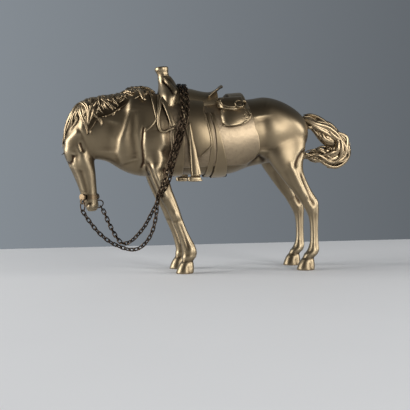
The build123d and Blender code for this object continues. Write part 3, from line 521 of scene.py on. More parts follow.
def lockOnNeck(rng, rootX, tipX, tipHeight, side, half, out, wave):
    # runs over the crest and down the neck to its tip height, swaying fore and aft in a sine
    t = np.linspace(0, 1, 26)
    low, high = (np.interp(tipX, trunkDense[:, 0], trunkDense[:, k]) for k in (1, 2))
    reach = math.acos(max(-1, min(1, (tipHeight - (low + high) / 2) / ((high - low) / 2 + out))))
    theta = side * (-0.12 + (reach + 0.12) * t)
    curl = rng.uniform(-2.6, 2.6) * np.clip(t - 0.55, 0, 1) ** 1.5 / 0.3  # the end hooks to one side
    x = rootX + (tipX - rootX) * t**1.2 + wave * np.sin(2 * np.pi * (t * rng.uniform(0.7, 1.2) + rng.uniform(0,
            1))) * (0.3 + t) + curl
    raised = out * (1 + 0.5 * np.sin(np.pi * t * rng.uniform(1.2, 2.2)))
    path = trunkPoint(x, theta, raised)
    facing = unit(path - trunkPoint(x, theta, raised - 3))
    return strandShell(path, facing, half * taper(t, 0.8, 0.18, 0.45), 0.42 * half * taper(t, 0.8, 0.18, 0.45), 24, 6,
                       0.22)


def maneShells(s):
    # two layers of locks spread along the mane's lower line on each side, then short locks along the crest
    rng = np.random.default_rng(s["seed"])
    line = np.asarray(s["line"], float)
    made = []
    for side, share in ((-1, 1.0), (1, 0.8)):
        at = np.linspace(0, 1, int(s["locks"] * share))
        at = np.clip(at + rng.uniform(-0.01, 0.01, len(at)), 0, 1)
        k = at * (len(line) - 1)
        rootX, tipX, tipHeight = (np.interp(k, np.arange(len(line)), line[:, j]) for j in range(3))
        for i in range(len(at)):
            under = i % 2 == 0
            if side > 0 and rootX[i] < -93:
                continue
            made.append(lockOnNeck(
                rng, rootX[i] + rng.uniform(-2, 2), tipX[i] + rng.uniform(-3, 3.6),
                tipHeight[i] + (rng.uniform(-1, 3) if under else rng.uniform(3, 12)), side,
                s["half"] * rng.uniform(0.75, 1.25), (0.3 if under else 1.3), rng.uniform(1.2, 2.6),
            ))
    # crest locks lie along the top and break its outline
    crest = s["crest"]
    for i in range(crest["locks"]):
        t = np.linspace(0, 1, 20)
        start = crest["from"] + crest["step"] * i + rng.uniform(-1, 1)
        x = start + rng.uniform(5, 9) * t
        theta = rng.uniform(-0.5, 0.25) + rng.uniform(-0.5,
                                                      0.3) * t + 0.12 * np.sin(2 * np.pi * (t + rng.uniform(0, 1)))
        out = 1.1 + 0.9 * np.sin(np.pi * t) * rng.uniform(0.4, 1.2)
        path = trunkPoint(x, theta, out)
        facing = unit(path - trunkPoint(x, theta, out - 3))
        thin = taper(t, 0.2)
        made.append(strandShell(path, facing, crest["half"] * thin, crest["tall"] * thin, 14, 4, 0.3))
    return made


forelock = {
    # angle and height at the root, middle and tip of each lock, its half width
    "locks": [
        ((75, 26), (82, 17), (70, 7), 1.6), ((60, 26.5), (66, 16), (58, 3), 1.7), ((48, 26.5), (52, 15), (50, 1), 1.5),
        ((35, 26.5), (44, 12), (42, -4), 1.6), ((22, 26.5), (34, 12), (30, -6), 1.6),
        ((8, 26.5), (22, 10), (26, -9), 1.5),
        ((-8, 26.5), (8, 8), (14, -12), 1.5), ((-25, 26.5), (-8, 12), (4, -3), 1.4),
        ((92, 25), (96, 17), (88, 10), 1.5),
        ((66, 24), (92, 15), (84, 4), 1.2), ((30, 24), (22, 8), (34, 0), 1.2), ((-45, 26), (-32, 14), (-20, 3), 1.4),
    ],
    "flick": [(-106.8, 5.4, -6), (-110.6, 5.0, -10.5), (-113.0, 3.8, -13.2), (-114.6, 2.4, -14.2)],
}


def forelockShells(s):
    # each lock bends through three points given by angle round the head and height
    made = []
    for i, (root, middle, tip, half) in enumerate(s["locks"]):
        p = smoothPath([root, middle, tip], 26)
        t = np.linspace(0, 1, 26)
        angle = np.radians(p[:, 0] + 5 * np.sin(2 * np.pi * (1.3 * t + 0.37 * i)))
        out = 0.7 + 0.5 * np.sin(np.pi * t) + (i % 3) * 0.25
        path = headPoint(angle, p[:, 1], out)
        facing = unit(path - headPoint(angle, p[:, 1], out - 3))
        made.append(strandShell(path, facing, half * taper(t, 0.5), 0.7 * half * taper(t, 0.5), 14, 4, 0.3))
    path = smoothPath(np.array(s["flick"]) + [0, 0, ground], 16)
    t = np.linspace(0, 1, 16)
    made.append(strandShell(path, (0, -1, 0), 0.9 * (1.05 - t), 0.8 * (1.05 - t), 10))
    return made


forelockPiece = pieceOf("forelockHair", forelockShells(forelock))
markHollows(forelockPiece.data)

tail = {
    "seed": 11,
    "strands": 64,
    # x, height, half thickness in the side view, half width, angle of the axis
    "spine": [(70, 13.4, 3.0, 3.2, -6), (79, 12.0, 4.2, 4.2, -14), (87.5, 8.6, 5.4, 5.0, -30), (95, 2.6, 7.0, 5.8, -46),
              (102.6, -5.0, 8.8, 6.2, -68), (103.4, -12.0, 9.4, 6.2, -106), (97.6, -16.2, 8.8, 5.8, -150),
              (90.6, -15.8, 6.8, 5.2, -178),
              (84, -14.8, 4.6, 4.4, -188), (78, -14.8, 3.2, 3.6, -182), (72.8, -15.2, 2.4, 2.6, -178)],
}


def tailShells(s):
    # strands spread over the oval round a curling spine; each has its own place, sway and end
    rng = np.random.default_rng(s["seed"])
    spine = smoothPath(s["spine"], 240)
    made = []
    for i in range(s["strands"]):
        outer = i < s["strands"] * 0.7
        start, end = (rng.uniform(0, 0.1) if rng.random() < 0.55 else rng.uniform(0.15, 0.5)), rng.uniform(0.62, 1.0)
        t = np.linspace(0, 1, 60)
        at = (start + (end - start) * t) * (len(spine) - 1)
        x, dz, thick, wide, angle = (np.interp(at, np.arange(len(spine)), spine[:, k]) for k in range(5))
        angle = np.radians(angle)
        place = rng.uniform(0, 2 * np.pi) + rng.uniform(-0.8, 0.8) * t
        depth = (rng.uniform(0.62, 0.92) if outer else rng.uniform(0.1, 0.6))
        sway = 1.7 * np.sin(2 * np.pi * (t * rng.uniform(1.6, 3.4) + rng.uniform(0, 1)))
        thin = np.clip(t / 0.06, 0.35, 1)
        off = depth * thick * np.cos(place) + sway
        path = np.stack([x - off * np.sin(angle), depth * wide * np.sin(place) + 0.5 * sway,
                         ground + dz + off * np.cos(angle)], -1)
        half = rng.uniform(1.6, 2.9) * taper(t, 0.5, 0.2, 0.3) * thin
        facing = np.stack([-np.sin(angle) * np.cos(place), np.sin(place), np.cos(angle) * np.cos(place)], -1)
        made.append(strandShell(path, facing, half, 0.75 * half, 12, 4, 0.3))
    core = spine[::4]
    angle = np.radians(core[:, 4])
    centres = np.stack([core[:, 0], 0 * core[:, 0], ground + core[:, 1]], -1)
    up = np.stack([-np.sin(angle), 0 * angle, np.cos(angle)], -1)
    made.append(shellOf(ovalRings(centres, (0, 1, 0), up, core[:, 3] * 0.62, core[:, 2] * 0.62, 24)))
    return made


tailPiece = pieceOf("tailHair", tailShells(tail))
markHollows(tailPiece.data)
print("hair")


# tack laid on the flanks

fineHollows = (2, 8), (0.06, 0.2)  # rounds of relaxing, depth in millimetres

def panelShell(form, side, edge=1.0, place=flankPoint, rows=44, columns=26, crown=0.0, wrap=False, smooth=False):
    # front and rear edges run from the bottom up; between them the surface rises from under its base to its full
    # thickness along a quarter circle at every free edge, and a plain inner face closes it
    base, thick = form["base"], form["thick"]
    f, r = (evenPath(form[k], rows, smooth) for k in ("front", "rear"))
    v = 0.5 - 0.5 * np.cos(np.linspace(0, np.pi, rows))
    k = v * (rows - 1)
    f, r = (np.stack([np.interp(k, np.arange(rows), q[:, j]) for j in (0, 1)], -1) for q in (f, r))
    long = np.linalg.norm(f[-1] - f[0]) / 2 + np.linalg.norm(r[-1] - r[0]) / 2
    toEnd = v * long if wrap else np.minimum(v, 1 - v) * long
    sides = np.full(rows, float(side))
    if wrap:
        f, r, toEnd = (np.concatenate([q, q[-2::-1]]) for q in (f, r, toEnd))
        sides = np.r_[np.full(rows, -1.0), np.full(rows - 1, 1.0)]
    s = 0.5 - 0.5 * np.cos(np.linspace(0, np.pi, columns))
    x = f[:, :1] * (1 - s) + r[:, :1] * s
    dz = f[:, 1:] * (1 - s) + r[:, 1:] * s
    toSide = np.minimum(s, 1 - s)[None, :] * np.linalg.norm(r - f, axis=1)[:, None]
    d = np.minimum(toSide, toEnd[:, None])
    rise = np.sqrt(1 - (1 - np.clip(d / edge, 0, 1)) ** 2)
    sink = 0.5
    out = base - sink + (thick + sink) * rise + crown * np.sin(np.pi * s)[None, :] * rise
    outer = place(x, dz, out, sides[:, None])
    inner = place(x, dz, np.full(out.shape, base - sink - 0.4), sides[:, None])
    return shellOf(np.concatenate([outer, inner[:, ::-1]], 1))


def ribbonShell(path, side, out, half, tall, count=60, place=flankPoint, power=2.6):
    # a flat oval strap along a side-view path, lying on the flank and narrowing in the last few hundredths at each end
    p = evenPath(path, count)
    on = place(p[:, 0], p[:, 1], np.full(count, float(out)), side)
    under = place(p[:, 0], p[:, 1], np.full(count, float(out) - 2), side)
    t = np.linspace(0, 1, count)
    fade = np.clip(np.minimum(t, 1 - t) / 0.03, 0.25, 1)
    return strandShell(on, unit(on - under), half * fade, tall * fade, 16, 0, power=power)


def finishTack(name, shells):
    # small pieces take the finer hollow measure
    piece = pieceOf(name, shells)
    markHollows(piece.data, *fineHollows)
    return piece


mane["roots"] = {"base": 0.0, "thick": 0.9, "front": [(-96, 1), (-99, 14), (-99.5, 26), (-99, 45)],
                 "rear": [(-95.4, 0), (-91, 6), (-86, 13), (-78, 15), (-71, 19.5), (-63, 25), (-55, 29.5), (-48, 33),
                          (-47, 45)]}
manePiece = pieceOf("maneHair", maneShells(mane) + [
    panelShell(mane["roots"], 1, 1.6, rows=70, columns=60, wrap=True, smooth=True),
])
markHollows(manePiece.data)

blanket = {"base": 0.0, "thick": 1.1,
           "front": [(-31, -25), (-33.5, -22), (-36, 0), (-37, 45)],
           "rear": [(24, -22.5), (31, -17.5), (34, -11), (32.4, -2), (29.6, 5.5), (27.6, 15), (25.8, 26), (24, 45)]}
blanketPiece = finishTack("saddleBlanket", [panelShell(blanket, 1, 0.8, rows=90, columns=60, wrap=True)])

cinches = {
    "front": {"front": [(-32.5, -40), (-34, 4)], "rear": [(-23.5, -40), (-25, 4)], "base": 1.0, "thick": 0.8},
    "rear": {"front": [(-1.6, -40), (-1.0, -22.6), (-0.9, -11.5), (-2.4, 3.4), (-5.4, 17)],
             "rear": [(12.2, -40), (8.4, -21), (5.2, -11.5), (1.1, 3.4), (-1.8, 17)], "base": 1.0, "thick": 0.9},
    "rearPad": {"front": [(-7.4, -40), (-6.4, -22), (-5.6, -11), (-6.2, 4), (-8.6, 17)],
                "rear": [(-2.6, -40), (-1.9, -22.6), (-1.8, -11.5), (-3.4, 3.4), (-6.2, 17)], "base": 1.0,
                "thick": 0.45},
}
cinchPieces = [
    finishTack(name + "Cinch", [panelShell(c, side, 0.7, rows=70) for c in group for side in (-1, 1)])
    for name, group in (("front", [cinches["front"]]), ("rear", [cinches["rear"], cinches["rearPad"]]))
]

skirt = {"base": 1.1, "thick": 1.8,
         "front": [(-15, -18.4), (-21.0, -14), (-22.6, -6), (-24.4, 6), (-26.2, 20), (-27.5, 45)],
         "rear": [(-13.4, -16.8), (-5.6, -9.2), (-5.2, -5), (-7.6, 8), (-9.4, 17), (-8, 24), (-4, 45)]}
skirtPiece = finishTack("saddleSkirts", [
    panelShell(skirt, 1, 0.9, rows=80, columns=44, wrap=True, crown=0.5),
    *[ribbonShell([(-13.0, -16.2), (-6.0, -9.4), (-5.5, -5), (-7.9, 8), (-9.6, 16.5)], side, 3.1, 0.55,
                  0.4) for side in (-1, 1)],
])


def hangPoint(x, dz, out, side):
    # follows the flank down to its widest line, then drops straight
    x, dz, out, side = np.broadcast_arrays(x, dz, out, side)
    on = flankPoint(x, np.maximum(dz, -0.5), out, side)
    on[..., 2] = np.where(dz < -0.5, ground + dz, on[..., 2])
    return on


fender = {"base": 2.8, "thick": 1.7,
          "front": [(-20.8, -31.5), (-21.4, -22), (-21.8, -14), (-22.8, 0), (-23.2, 9)],
          "rear": [(-14.0, -31.5), (-15.2, -20), (-16.4, -12), (-18.4, -4), (-19.6, 3), (-20.6, 9)],
          "ridge": [(-14.6, -31), (-16.6, -22), (-18.8, -11), (-21.4, 0), (-22.2, 8)]}
fenderPieces = []
stirrup = {"half": (5.1, 3.5, 2.0), "x": -18.6, "out": 27.5425, "height": -33.0}


def blockShell(centre, half, power=4.0, count=28):
    # a rounded block: ovals of the given power, drawn in towards top and bottom on the same curve
    t = np.linspace(-1, 1, 15)
    draw = np.maximum((1 - np.abs(t) ** power) ** (1 / power), 0.3)
    centres = np.asarray(centre, float) + np.stack([0 * t, 0 * t, half[2] * t], -1)
    return shellOf(ovalRings(centres, (1, 0, 0), (0, 1, 0), half[0] * draw, half[1] * draw, count, power))


for side, sideName in ((-1, "Left"), (1, "Right")):
    fenderPieces.append(finishTack("fender" + sideName, [
        panelShell(fender, side, 1.3, hangPoint, crown=0.6),
        ribbonShell(fender["ridge"], side, 4.0, 1.5, 0.9, place=hangPoint, power=2.0),
    ]))
    across = side * stirrup["out"]
    fenderPieces.append(finishTack("stirrup" + sideName, [
        blockShell((stirrup["x"], across, ground + stirrup["height"]), stirrup["half"]),
        blockShell((stirrup["x"] + 0.6, across, ground + stirrup["height"] - 0.9), (5.3, 3.7, 0.8), 5.0),
    ]))

fork = {
    "form": [(21, -42.5, -27, 18.6), (29, -42.4, -26.2, 17.2), (34.5, -41.2, -26.2, 13.2), (38.6, -40.8, -27.2, 9.0),
             (42, -41.2, -28.8, 6.2), (45.4, -41.4, -31.4, 4.9)],
    "marks": {
        "ridge": trace(0.9, 1.0, (-36.8, 44.5), (-33.2, 38.5), (-28.6, 31.5)),
        "hollow": trace(-0.8, 1.0, (-38.6, 42), (-35.2, 37), (-31.6, 30)),
        "swell": trace(0.7, 1.6, (-27.6, 37), (-26.8, 30)),
    },
}
horn = {"turned": [(42.0, -35.6, 5.4), (44.6, -36.4, 4.7), (46.8, -37.2, 4.4), (48.4, -37.8, 4.6), (49.4, -38.1, 5.0),
                   (50.4, -38.3, 5.25),
                   (51.6, -38.4, 5.25), (52.3, -38.4, 4.9), (52.65, -38.4, 4.0), (52.6, -38.4, 2.0),
                   (52.55, -38.4, 0.3)],
        "lean": -0.10}


def forkShell(s):
    # level ovals stacked up the table: height, front x, rear x, half width
    rows = smoothPath(s["form"], 40)
    centres = np.stack([(rows[:, 1] + rows[:, 2]) / 2, 0 * rows[:, 0], ground + rows[:, 0]], -1)
    return shellOf(ovalRings(centres, (1, 0, 0), (0, 1, 0), (rows[:, 2] - rows[:, 1]) / 2, rows[:, 3], 56, 2.3))


def hornShell(s):
    # turned profile, each ring tipped a little forward
    rows = np.asarray(s["turned"], float)
    rows = np.stack([np.interp(np.linspace(0, len(rows) - 1, 50), np.arange(len(rows)), rows[:, k]) for k in range(3)],
                    -1)
    centres = np.stack([rows[:, 1], 0 * rows[:, 1], ground + rows[:, 0]], -1)
    rings = ovalRings(centres, (1, 0, 0), (0, 1, 0), rows[:, 2], rows[:, 2], 40)
    rings[..., 2] -= s["lean"] * (rings[..., 0] - centres[:, None, 0]) * np.clip((rows[:, 0] - 45) / 5, 0, 1)[:, None]
    return shellOf(rings)


forkPiece = pieceOf("saddleFork", [forkShell(fork)])
forkPoints, forkNormals = meshPoints(forkPiece.data), meshNormals(forkPiece.data)
forkLift = sum(strokeHeight(forkPoints[:, 0], forkPoints[:, 2] - ground, s) for s in fork["marks"].values())
setPoints(forkPiece.data, forkPoints + forkNormals * (forkLift * np.clip(np.abs(forkNormals[:, 1]) * 2, 0, 1))[:, None])
markHollows(forkPiece.data, *fineHollows)
hornPiece = finishTack("saddleHorn", [hornShell(horn)])

seat = {"form": [(-31, 37.6, 16), (-24, 36.9, 17), (-17, 36.4, 17), (-9, 34.6, 16.4), (-2, 34, 15.4), (3.4, 36, 14.4)],
        "middle": 14.0}
cantle = {"foot": (-3.6, 0, 28.0), "up": (0.715, 0, 0.699), "tall": 16.6, "half": 14.5, "thick": 1.1}


def seatShell(s):
    # upright ovals along x from the table: x, highest point, half width
    rows = smoothPath(s["form"], 40)
    centres = np.stack([rows[:, 0], 0 * rows[:, 0], np.full(40, ground + s["middle"])], -1)
    return shellOf(ovalRings(centres, (0, 1, 0), (0, 0, 1), rows[:, 2], rows[:, 1] - s["middle"], 72, 2.1))


def cantleShell(s):
    # half an oval blade standing along its up direction, thickened into a rolled rim at the top and dished to the front
    t = np.linspace(0, 1, 36) ** 0.8
    up, back = np.array(s["up"]), np.array([0.699, 0, -0.715])
    half = s["half"] * np.sqrt(np.maximum(1 - t**2, 0.001))
    centres = np.array(s["foot"]) + [0, 0, ground] + up * (s["tall"] * t)[:, None] + back * (0.8 * t**2)[:, None]
    thick = s["thick"] * (0.8 + 0.5 * np.exp(-(((t - 0.93) / 0.07) ** 2)))
    rings = ovalRings(centres, (0, 1, 0), back, half, thick, 56, 2.4)
    rings -= back * (1.6 * (np.abs(rings[..., 1]) / s["half"]) ** 2)[..., None]
    return shellOf(rings)


seatPiece = finishTack("saddleSeat", [seatShell(seat)])
cantlePiece = finishTack("cantleBlade", [cantleShell(cantle)])

bags = {
    "pouch": {"front": [(5.1, 18), (1.6, 20.6), (1.0, 27), (5, 31)],
              "rear": [(12, 17.2), (18.6, 19), (21.4, 23), (20.8, 32)], "base": 1.0, "thick": 4.4},
    "flap": {"front": [(6.4, 20.8), (3.2, 23), (2.4, 26.8), (5.6, 29.6)],
             "rear": [(11, 19.6), (18.4, 21.4), (20.6, 24.4), (20.4, 31)], "base": 5.2, "thick": 1.2},
    "roll": {"front": [(8.6, 5.4), (4.8, 6.2), (2.9, 8.8), (2.6, 14), (3.4, 19), (6, 24)],
             "rear": [(15, 6.0), (21.0, 8.2), (24.8, 10.8), (26.4, 14.4), (25.8, 19), (25.0, 24)], "base": 0.9,
             "thick": 2.7},
    "yoke": {"front": [(9.6, 24), (9.6, 45)], "rear": [(24.4, 24), (24.4, 45)], "base": 0.9, "thick": 4.9},
    "boss": {"x": 16.6, "height": 23.4, "radius": 3.6},
    "ties": [
        [(18.2, 19.4), (20.2, 18.6), (22.8, 16.8), (24.6, 14.8), (25.6, 13.0)],
        [(20.0, 20.4), (22.4, 19.4), (24.6, 17.2), (25.8, 15.0)],
        [(25.4, 14.4), (23.4, 12.6), (20.6, 12.4), (18.6, 13.4)],
        [(18.2, 10.4), (20.8, 10.8), (23.2, 11.6), (24.6, 13.2)],
        [(19.0, 8.6), (21.6, 9.6), (24.2, 12.0)], [(20.6, 15.6), (22.4, 14.8), (22.6, 13.2), (21.0, 12.8),
                                                   (20.0, 14.2), (20.6, 15.6)],
    ],
}


def bagPoint(x, dz, out, side):
    # the flank's surface with its upper part moved outward and a little down, so a bag's face stands steeper
    on = flankPoint(x, dz, out, side)
    move = np.clip((np.broadcast_to(dz, on.shape[:-1]) - 16) / 14, 0, 1)
    move = move * move * (3 - 2 * move) * np.clip(np.broadcast_to(out, on.shape[:-1]) / 4, 0, 1)
    on[..., 1] += np.sign(on[..., 1]) * 3.6 * move
    on[..., 2] -= 1.0 * move
    return on


def bossShell(s, side):
    # turned button: a raised rim round a shallow dish
    turned = np.array([(1.0, -1.2), (1.0, 0.3), (0.97, 0.7), (0.88, 0.95), (0.76, 0.8), (0.6, 0.6), (0.4, 0.75),
                       (0.2, 0.85), (0.03, 0.88)])
    at = bagPoint(np.array([s["x"]]), np.array([s["height"]]), np.array([6.6]), side)[0]
    facing = unit(np.array([0.1, 0.82 * side, 0.56]))
    sideways = unit(np.cross(facing, (0, 0, 1)))
    rows = evenPath(turned, 40)
    radius = rows[:, 0] * s["radius"]
    return shellOf(ovalRings(at + facing * rows[:, 1:], sideways, np.cross(sideways, facing), radius, radius, 40))


bagPieces = {}
for side, sideName in ((-1, "Left"), (1, "Right")):
    p = bags["pouch"]
    bagPieces["pouch" + sideName] = finishTack("pouch" + sideName, [panelShell(p, side, 4.2, bagPoint, crown=0.6)])
    p = bags["flap"]
    bagPieces["flap" + sideName] = finishTack("flap" + sideName, [
        panelShell(p, side, 0.9, bagPoint),
        ribbonShell([(4.6, 29.0), (3.4, 25.6), (5.0, 22.6), (9.0, 20.9), (14.0, 21.0)], side, 6.4, 0.5, 0.5,
                    place=bagPoint),
    ])
    bagPieces["boss" + sideName] = finishTack("boss" + sideName, [bossShell(bags["boss"], side)])
    p = bags["roll"]
    bagPieces["roll" + sideName] = finishTack("roll" + sideName, [
        panelShell(p, side, 4.6, crown=1.3),
        ribbonShell([(3.0, 7.0), (8.0, 6.4), (14.0, 6.8), (19.6, 8.0), (24.4, 11.4), (26.2, 15.4), (25.6, 20)], side,
                    1.6, 0.5, 0.7),
    ])
    bagPieces["ties" + sideName] = finishTack("ties" + sideName, [
        ribbonShell(path, side, 3.9 + 0.3 * (i % 2), 0.65, 0.6) for i, path in enumerate(bags["ties"])
    ])
p = bags["yoke"]
bagPieces["yoke"] = finishTack("bagYoke", [panelShell(p, 1, 2.6, wrap=True, rows=50)])

straps = {
    "strings": [([(-48.4, 32), (-47.4, 26), (-46.2, 18), (-45.2, 11.6)], 0.75),
                ([(-42.0, 31), (-43.6, 20.6), (-45.4, 12.2), (-49.4, 6.2), (-54.6, 2.0)], 0.8)],
    "rigging": [([(-41.0, 28), (-39.4, 25.4), (-36.8, 18.0), (-34.2, 9.6), (-33.0, 5.6)], 1.8),
                ([(-32.4, 4.8), (-36.2, 3.6), (-39.4, 2.0), (-42.4, 2.6), (-44.0, 6.2), (-44.2, 12.4), (-42.6, 20),
                  (-41.2, 27)], 0.9)],
}
strapPieces = {}
for side, sideName in ((-1, "Left"), (1, "Right")):
    strapPieces["strings" + sideName] = finishTack("saddleStrings" + sideName,
                                                   [ribbonShell(path, side, 0.9, half, 0.7) for path,
                                                    half in straps["strings"]])
    strapPieces["rigging" + sideName] = finishTack("rigging" + sideName,
                                                   [ribbonShell(path, side, 2.0, half, 1.0) for path,
                                                    half in straps["rigging"]])
print("tack")


# chain rein

chain = {
    "wire": 0.5, "innerLength": 3.7, "innerHalf": 0.85, "pitch": 3.4, "firstReach": 1.25,
    "leftHold": (-45.2, -22.8, 56.0), "rightHold": (-44.6, -18.4, 56.0),
    "ringLean": 50,  # degrees that the right ring hangs outward
    "leftFoot": (-99.33, -1.59, 47.4), "rightFoot": (-84.73, 15.81, 49.97),
    # share of the way from ring to hold, height from the trunk's middle line
    "leftRoute": [(0.08, -63.4), (0.20, -71.8), (0.34, -78.6), (0.48, -82.7), (0.62, -85), (0.74, -84.2),
                  (0.84, -79.6), (0.92, -72), (0.97, -61.5)],
    "rightRoute": [(0.06, -58.4), (0.14, -66.4), (0.24, -74.8), (0.34, -80.6), (0.43, -81.8), (0.54, -79.6),
                   (0.66, -74.4), (0.78, -67.6), (0.89, -58.6), (0.96, -52.6)],
}
lap = 29.1  # how far out the chain lies where it rests on the skirt
climbLeft = [(-45.1, -24.6, -44.4), (-43.6, -25.7, -40.6), (-40.2, -26.2, -33), (-37.4, -25.1, -23),
             (-34.4, -25.7, -13), (-31.4, -26.9, -3),
             (-28.4, 1.2 - lap, 8), (-26.4, 4.6 - lap, 16.5), (-25.6, 9.2 - lap, 24.2), (-25.2, 14.8 - lap, 31.4),
             (-25.2, 21.4 - lap, 36.8),
             (-25.2, 0, 38.9), (-25.2, lap - 21.4, 36.8), (-25.6, lap - 14.8, 31.4), (-26.8, lap - 9.2, 24.2),
             (-28.6, lap - 5.0, 17.5)]
bight = [(-29.2, lap - 3.4, 13.5), (-27.6, lap - 2.3, 10), (-23.5, lap - 1.9, 8.3), (-19.4, lap - 2.3, 10),
         (-17.8, lap - 3.4, 13.5)]
climbRight = [(-43.4, -20.7, -44.5), (-40.2, -23.5, -40.6), (-36.6, -24.5, -33), (-33.8, -25.3, -23),
              (-31, -25.9, -13), (-27.8, -27.3, -3),
              (-24.8, 0.8 - lap, 8), (-22.8, 4.2 - lap, 16.5), (-21.9, 8.8 - lap, 24.2), (-21.5, 14.4 - lap, 31.2),
              (-21.5, 21.4 - lap, 36.6),
              (-21.5, 0, 38.7), (-21.5, lap - 21.4, 36.6), (-21.2, lap - 14.4, 31.2), (-20.2, lap - 8.8, 24.2),
              (-18.4, lap - 4.8, 17.5)]


def linkTemplate(s):
    # a round wire carried round a long loop: two straight runs joined by half circles
    half, turn = s["innerLength"] / 2 - s["innerHalf"], s["innerHalf"] + s["wire"]
    a = np.linspace(0, 2 * np.pi, 12, endpoint=False) + np.pi / 12
    middle = np.stack([turn * np.cos(a) + half * np.sign(np.cos(a)), turn * np.sin(a), 0 * a], -1)
    outward = np.stack([np.cos(a), np.sin(a), 0 * a], -1)
    b = np.linspace(0, 2 * np.pi, 5, endpoint=False)
    wireRound = outward[:, None] * np.cos(b)[None, :, None] + np.array([0, 0, 1]) * np.sin(b)[None, :, None]
    return middle[:, None] + s["wire"] * wireRound


def chainPiece(name, route, first, last, flip, acrossAt, s=chain):
    # links at even steps along the route, each turned a quarter turn from the one before
    dense = evenPath(route, 2000)
    run = np.r_[0, np.cumsum(np.linalg.norm(np.diff(dense, axis=0), axis=1))]
    count = round((run[-1] - first - last) / s["pitch"]) + 1
    at = np.linspace(first, run[-1] - last, count)
    centre = np.stack([np.interp(at, run, dense[:, k]) for k in range(3)], -1)
    ahead = np.stack([np.interp(at + 0.8, run, dense[:, k]) for k in range(3)], -1)
    behind = np.stack([np.interp(at - 0.8, run, dense[:, k]) for k in range(3)], -1)
    along = unit(ahead - behind)
    across = acrossAt(centre)
    across = unit(across - along * np.einsum("ij,ij->i", across, along)[:, None])
    lean = np.where((np.arange(count) + flip) % 2, 1, -1)[:, None]
    facing = unit(across + np.cross(along, across) * lean)
    beside = np.cross(facing, along)
    rings = linkTemplate(s)
    n, m, _ = rings.shape
    local = rings.reshape(-1, 3)
    points = centre[:, None] + local[None, :, :1] * along[:, None] + local[None, :, 1:2] * beside[:,
            None] + local[None, :, 2:] * facing[:, None]
    i, j = np.meshgrid(np.arange(n), np.arange(m), indexing="ij")
    i2, j2 = (i + 1) % n, (j + 1) % m
    quads = np.stack([i * m + j, i2 * m + j, i2 * m + j2, i * m + j2], -1).reshape(-1, 4)
    quads = (quads[None] + (np.arange(count) * n * m)[:, None, None]).reshape(-1, 4)
    made = pieceOf(name, [(points.reshape(-1, 3), quads, np.zeros((0, 3), int))])
    print(name, count, "links")
    return made


def strandRoute(foot, hold, shares):
    # points at each share of the straight way from foot to hold seen from above, at the listed heights
    foot, hold, shares = np.asarray(foot), np.asarray(hold), np.asarray(shares, float)
    flat = foot[:2] + (hold[:2] - foot[:2]) * shares[:, :1]
    return np.vstack([foot, np.c_[flat, ground + shares[:, 1]], hold])


def acrossRun(route):
    # level and square to the way from the strand's first point to its last
    run = unit((route[-1] - route[0])[:2])
    return lambda centre: np.tile([-run[1], run[0], 0.0], (len(centre), 1))


def acrossTurning(route):
    # the way a link faces turns evenly along the strand, from square with the leaning ring's wire to straight out
    lean = np.radians(chain["ringLean"])
    drop = -leftDir * np.sin(lean) - np.array([0, 0, np.cos(lean)])
    wire = unit(np.cross(drop, route[1] - route[0]))
    dense = evenPath(route, 2000)
    leaving = unit(dense[20] - dense[0])
    start = unit(wire + np.cross(leaving, wire))
    ending = np.array([0.0, -1.0, 0.0])
    ending = ending * (1 if start.dot(ending) >= 0 else -1)

    def at(centre):
        share = np.linspace(0, 1, len(centre))[:, None]
        return start * (1 - share) + ending * share
    return at


leftRoute = strandRoute(chain["leftFoot"], chain["leftHold"], chain["leftRoute"])
rightRoute = strandRoute(chain["rightFoot"], chain["rightHold"], chain["rightRoute"])
halfPitch = chain["pitch"] / 2
leftRein = chainPiece("chainLeft", leftRoute, chain["firstReach"], halfPitch, 0, acrossRun(leftRoute))
rightRein = chainPiece("chainRight", rightRoute, chain["firstReach"], halfPitch, 0, acrossTurning(rightRoute))
overSaddle = np.array(climbLeft + bight + climbRight[::-1]) + [0, 0, ground]
saddleRein = chainPiece(
    "chainOverSaddle", np.vstack([chain["leftHold"], overSaddle, chain["rightHold"]]), halfPitch, halfPitch, 0,
    lambda centre: np.stack([0 * centre[:, 0], centre[:, 1], np.maximum(centre[:, 2] - ground, 0) + 0.01], -1),
)


# metal finishes, with patina and painted shade in hollows and gaps

def groupOf(name, inputs, outputs):
    group = bpy.data.node_groups.new(name, "ShaderNodeTree")
    for label, kind, value in inputs:
        socket = group.interface.new_socket(name=label, in_out="INPUT", socket_type=kind)
        socket.default_value = value
    for label, kind in outputs:
        group.interface.new_socket(name=label, in_out="OUTPUT", socket_type=kind)
    return group, group.nodes.new("NodeGroupInput"), group.nodes.new("NodeGroupOutput")


def mathNode(tree, operation, a, b=None, clamp=False):
    node = tree.nodes.new("ShaderNodeMath")
    node.operation, node.use_clamp = operation, clamp
    for socket, value in zip(node.inputs, (a, b)):
        if value is None:
            continue
        if isinstance(value, (int, float)):
            socket.default_value = value
        else:
            tree.links.new(value, socket)
    return node.outputs[0]


def fromMiddle(tree, value, share):
    # how far a 0 to 1 value lies from its middle, times a share
    return mathNode(tree, "MULTIPLY", mathNode(tree, "SUBTRACT", value, 0.5), share)


def mixNode(tree, share, a, b):
    node = tree.nodes.new("ShaderNodeMix")
    node.data_type = "RGBA"
    for socket, value in ((node.inputs[0], share), (node.inputs[6], a), (node.inputs[7], b)):
        if isinstance(value, (int, float, tuple)):
            socket.default_value = value
        else:
            tree.links.new(value, socket)
    return node.outputs[2]


def noiseNode(tree, vector, scale, detail=3.0, rough=0.55):
    node = tree.nodes.new("ShaderNodeTexNoise")
    node.inputs["Scale"].default_value, node.inputs["Detail"].default_value = scale, detail
    node.inputs["Roughness"].default_value = rough
    tree.links.new(vector, node.inputs["Vector"])
    return node.outputs[0]


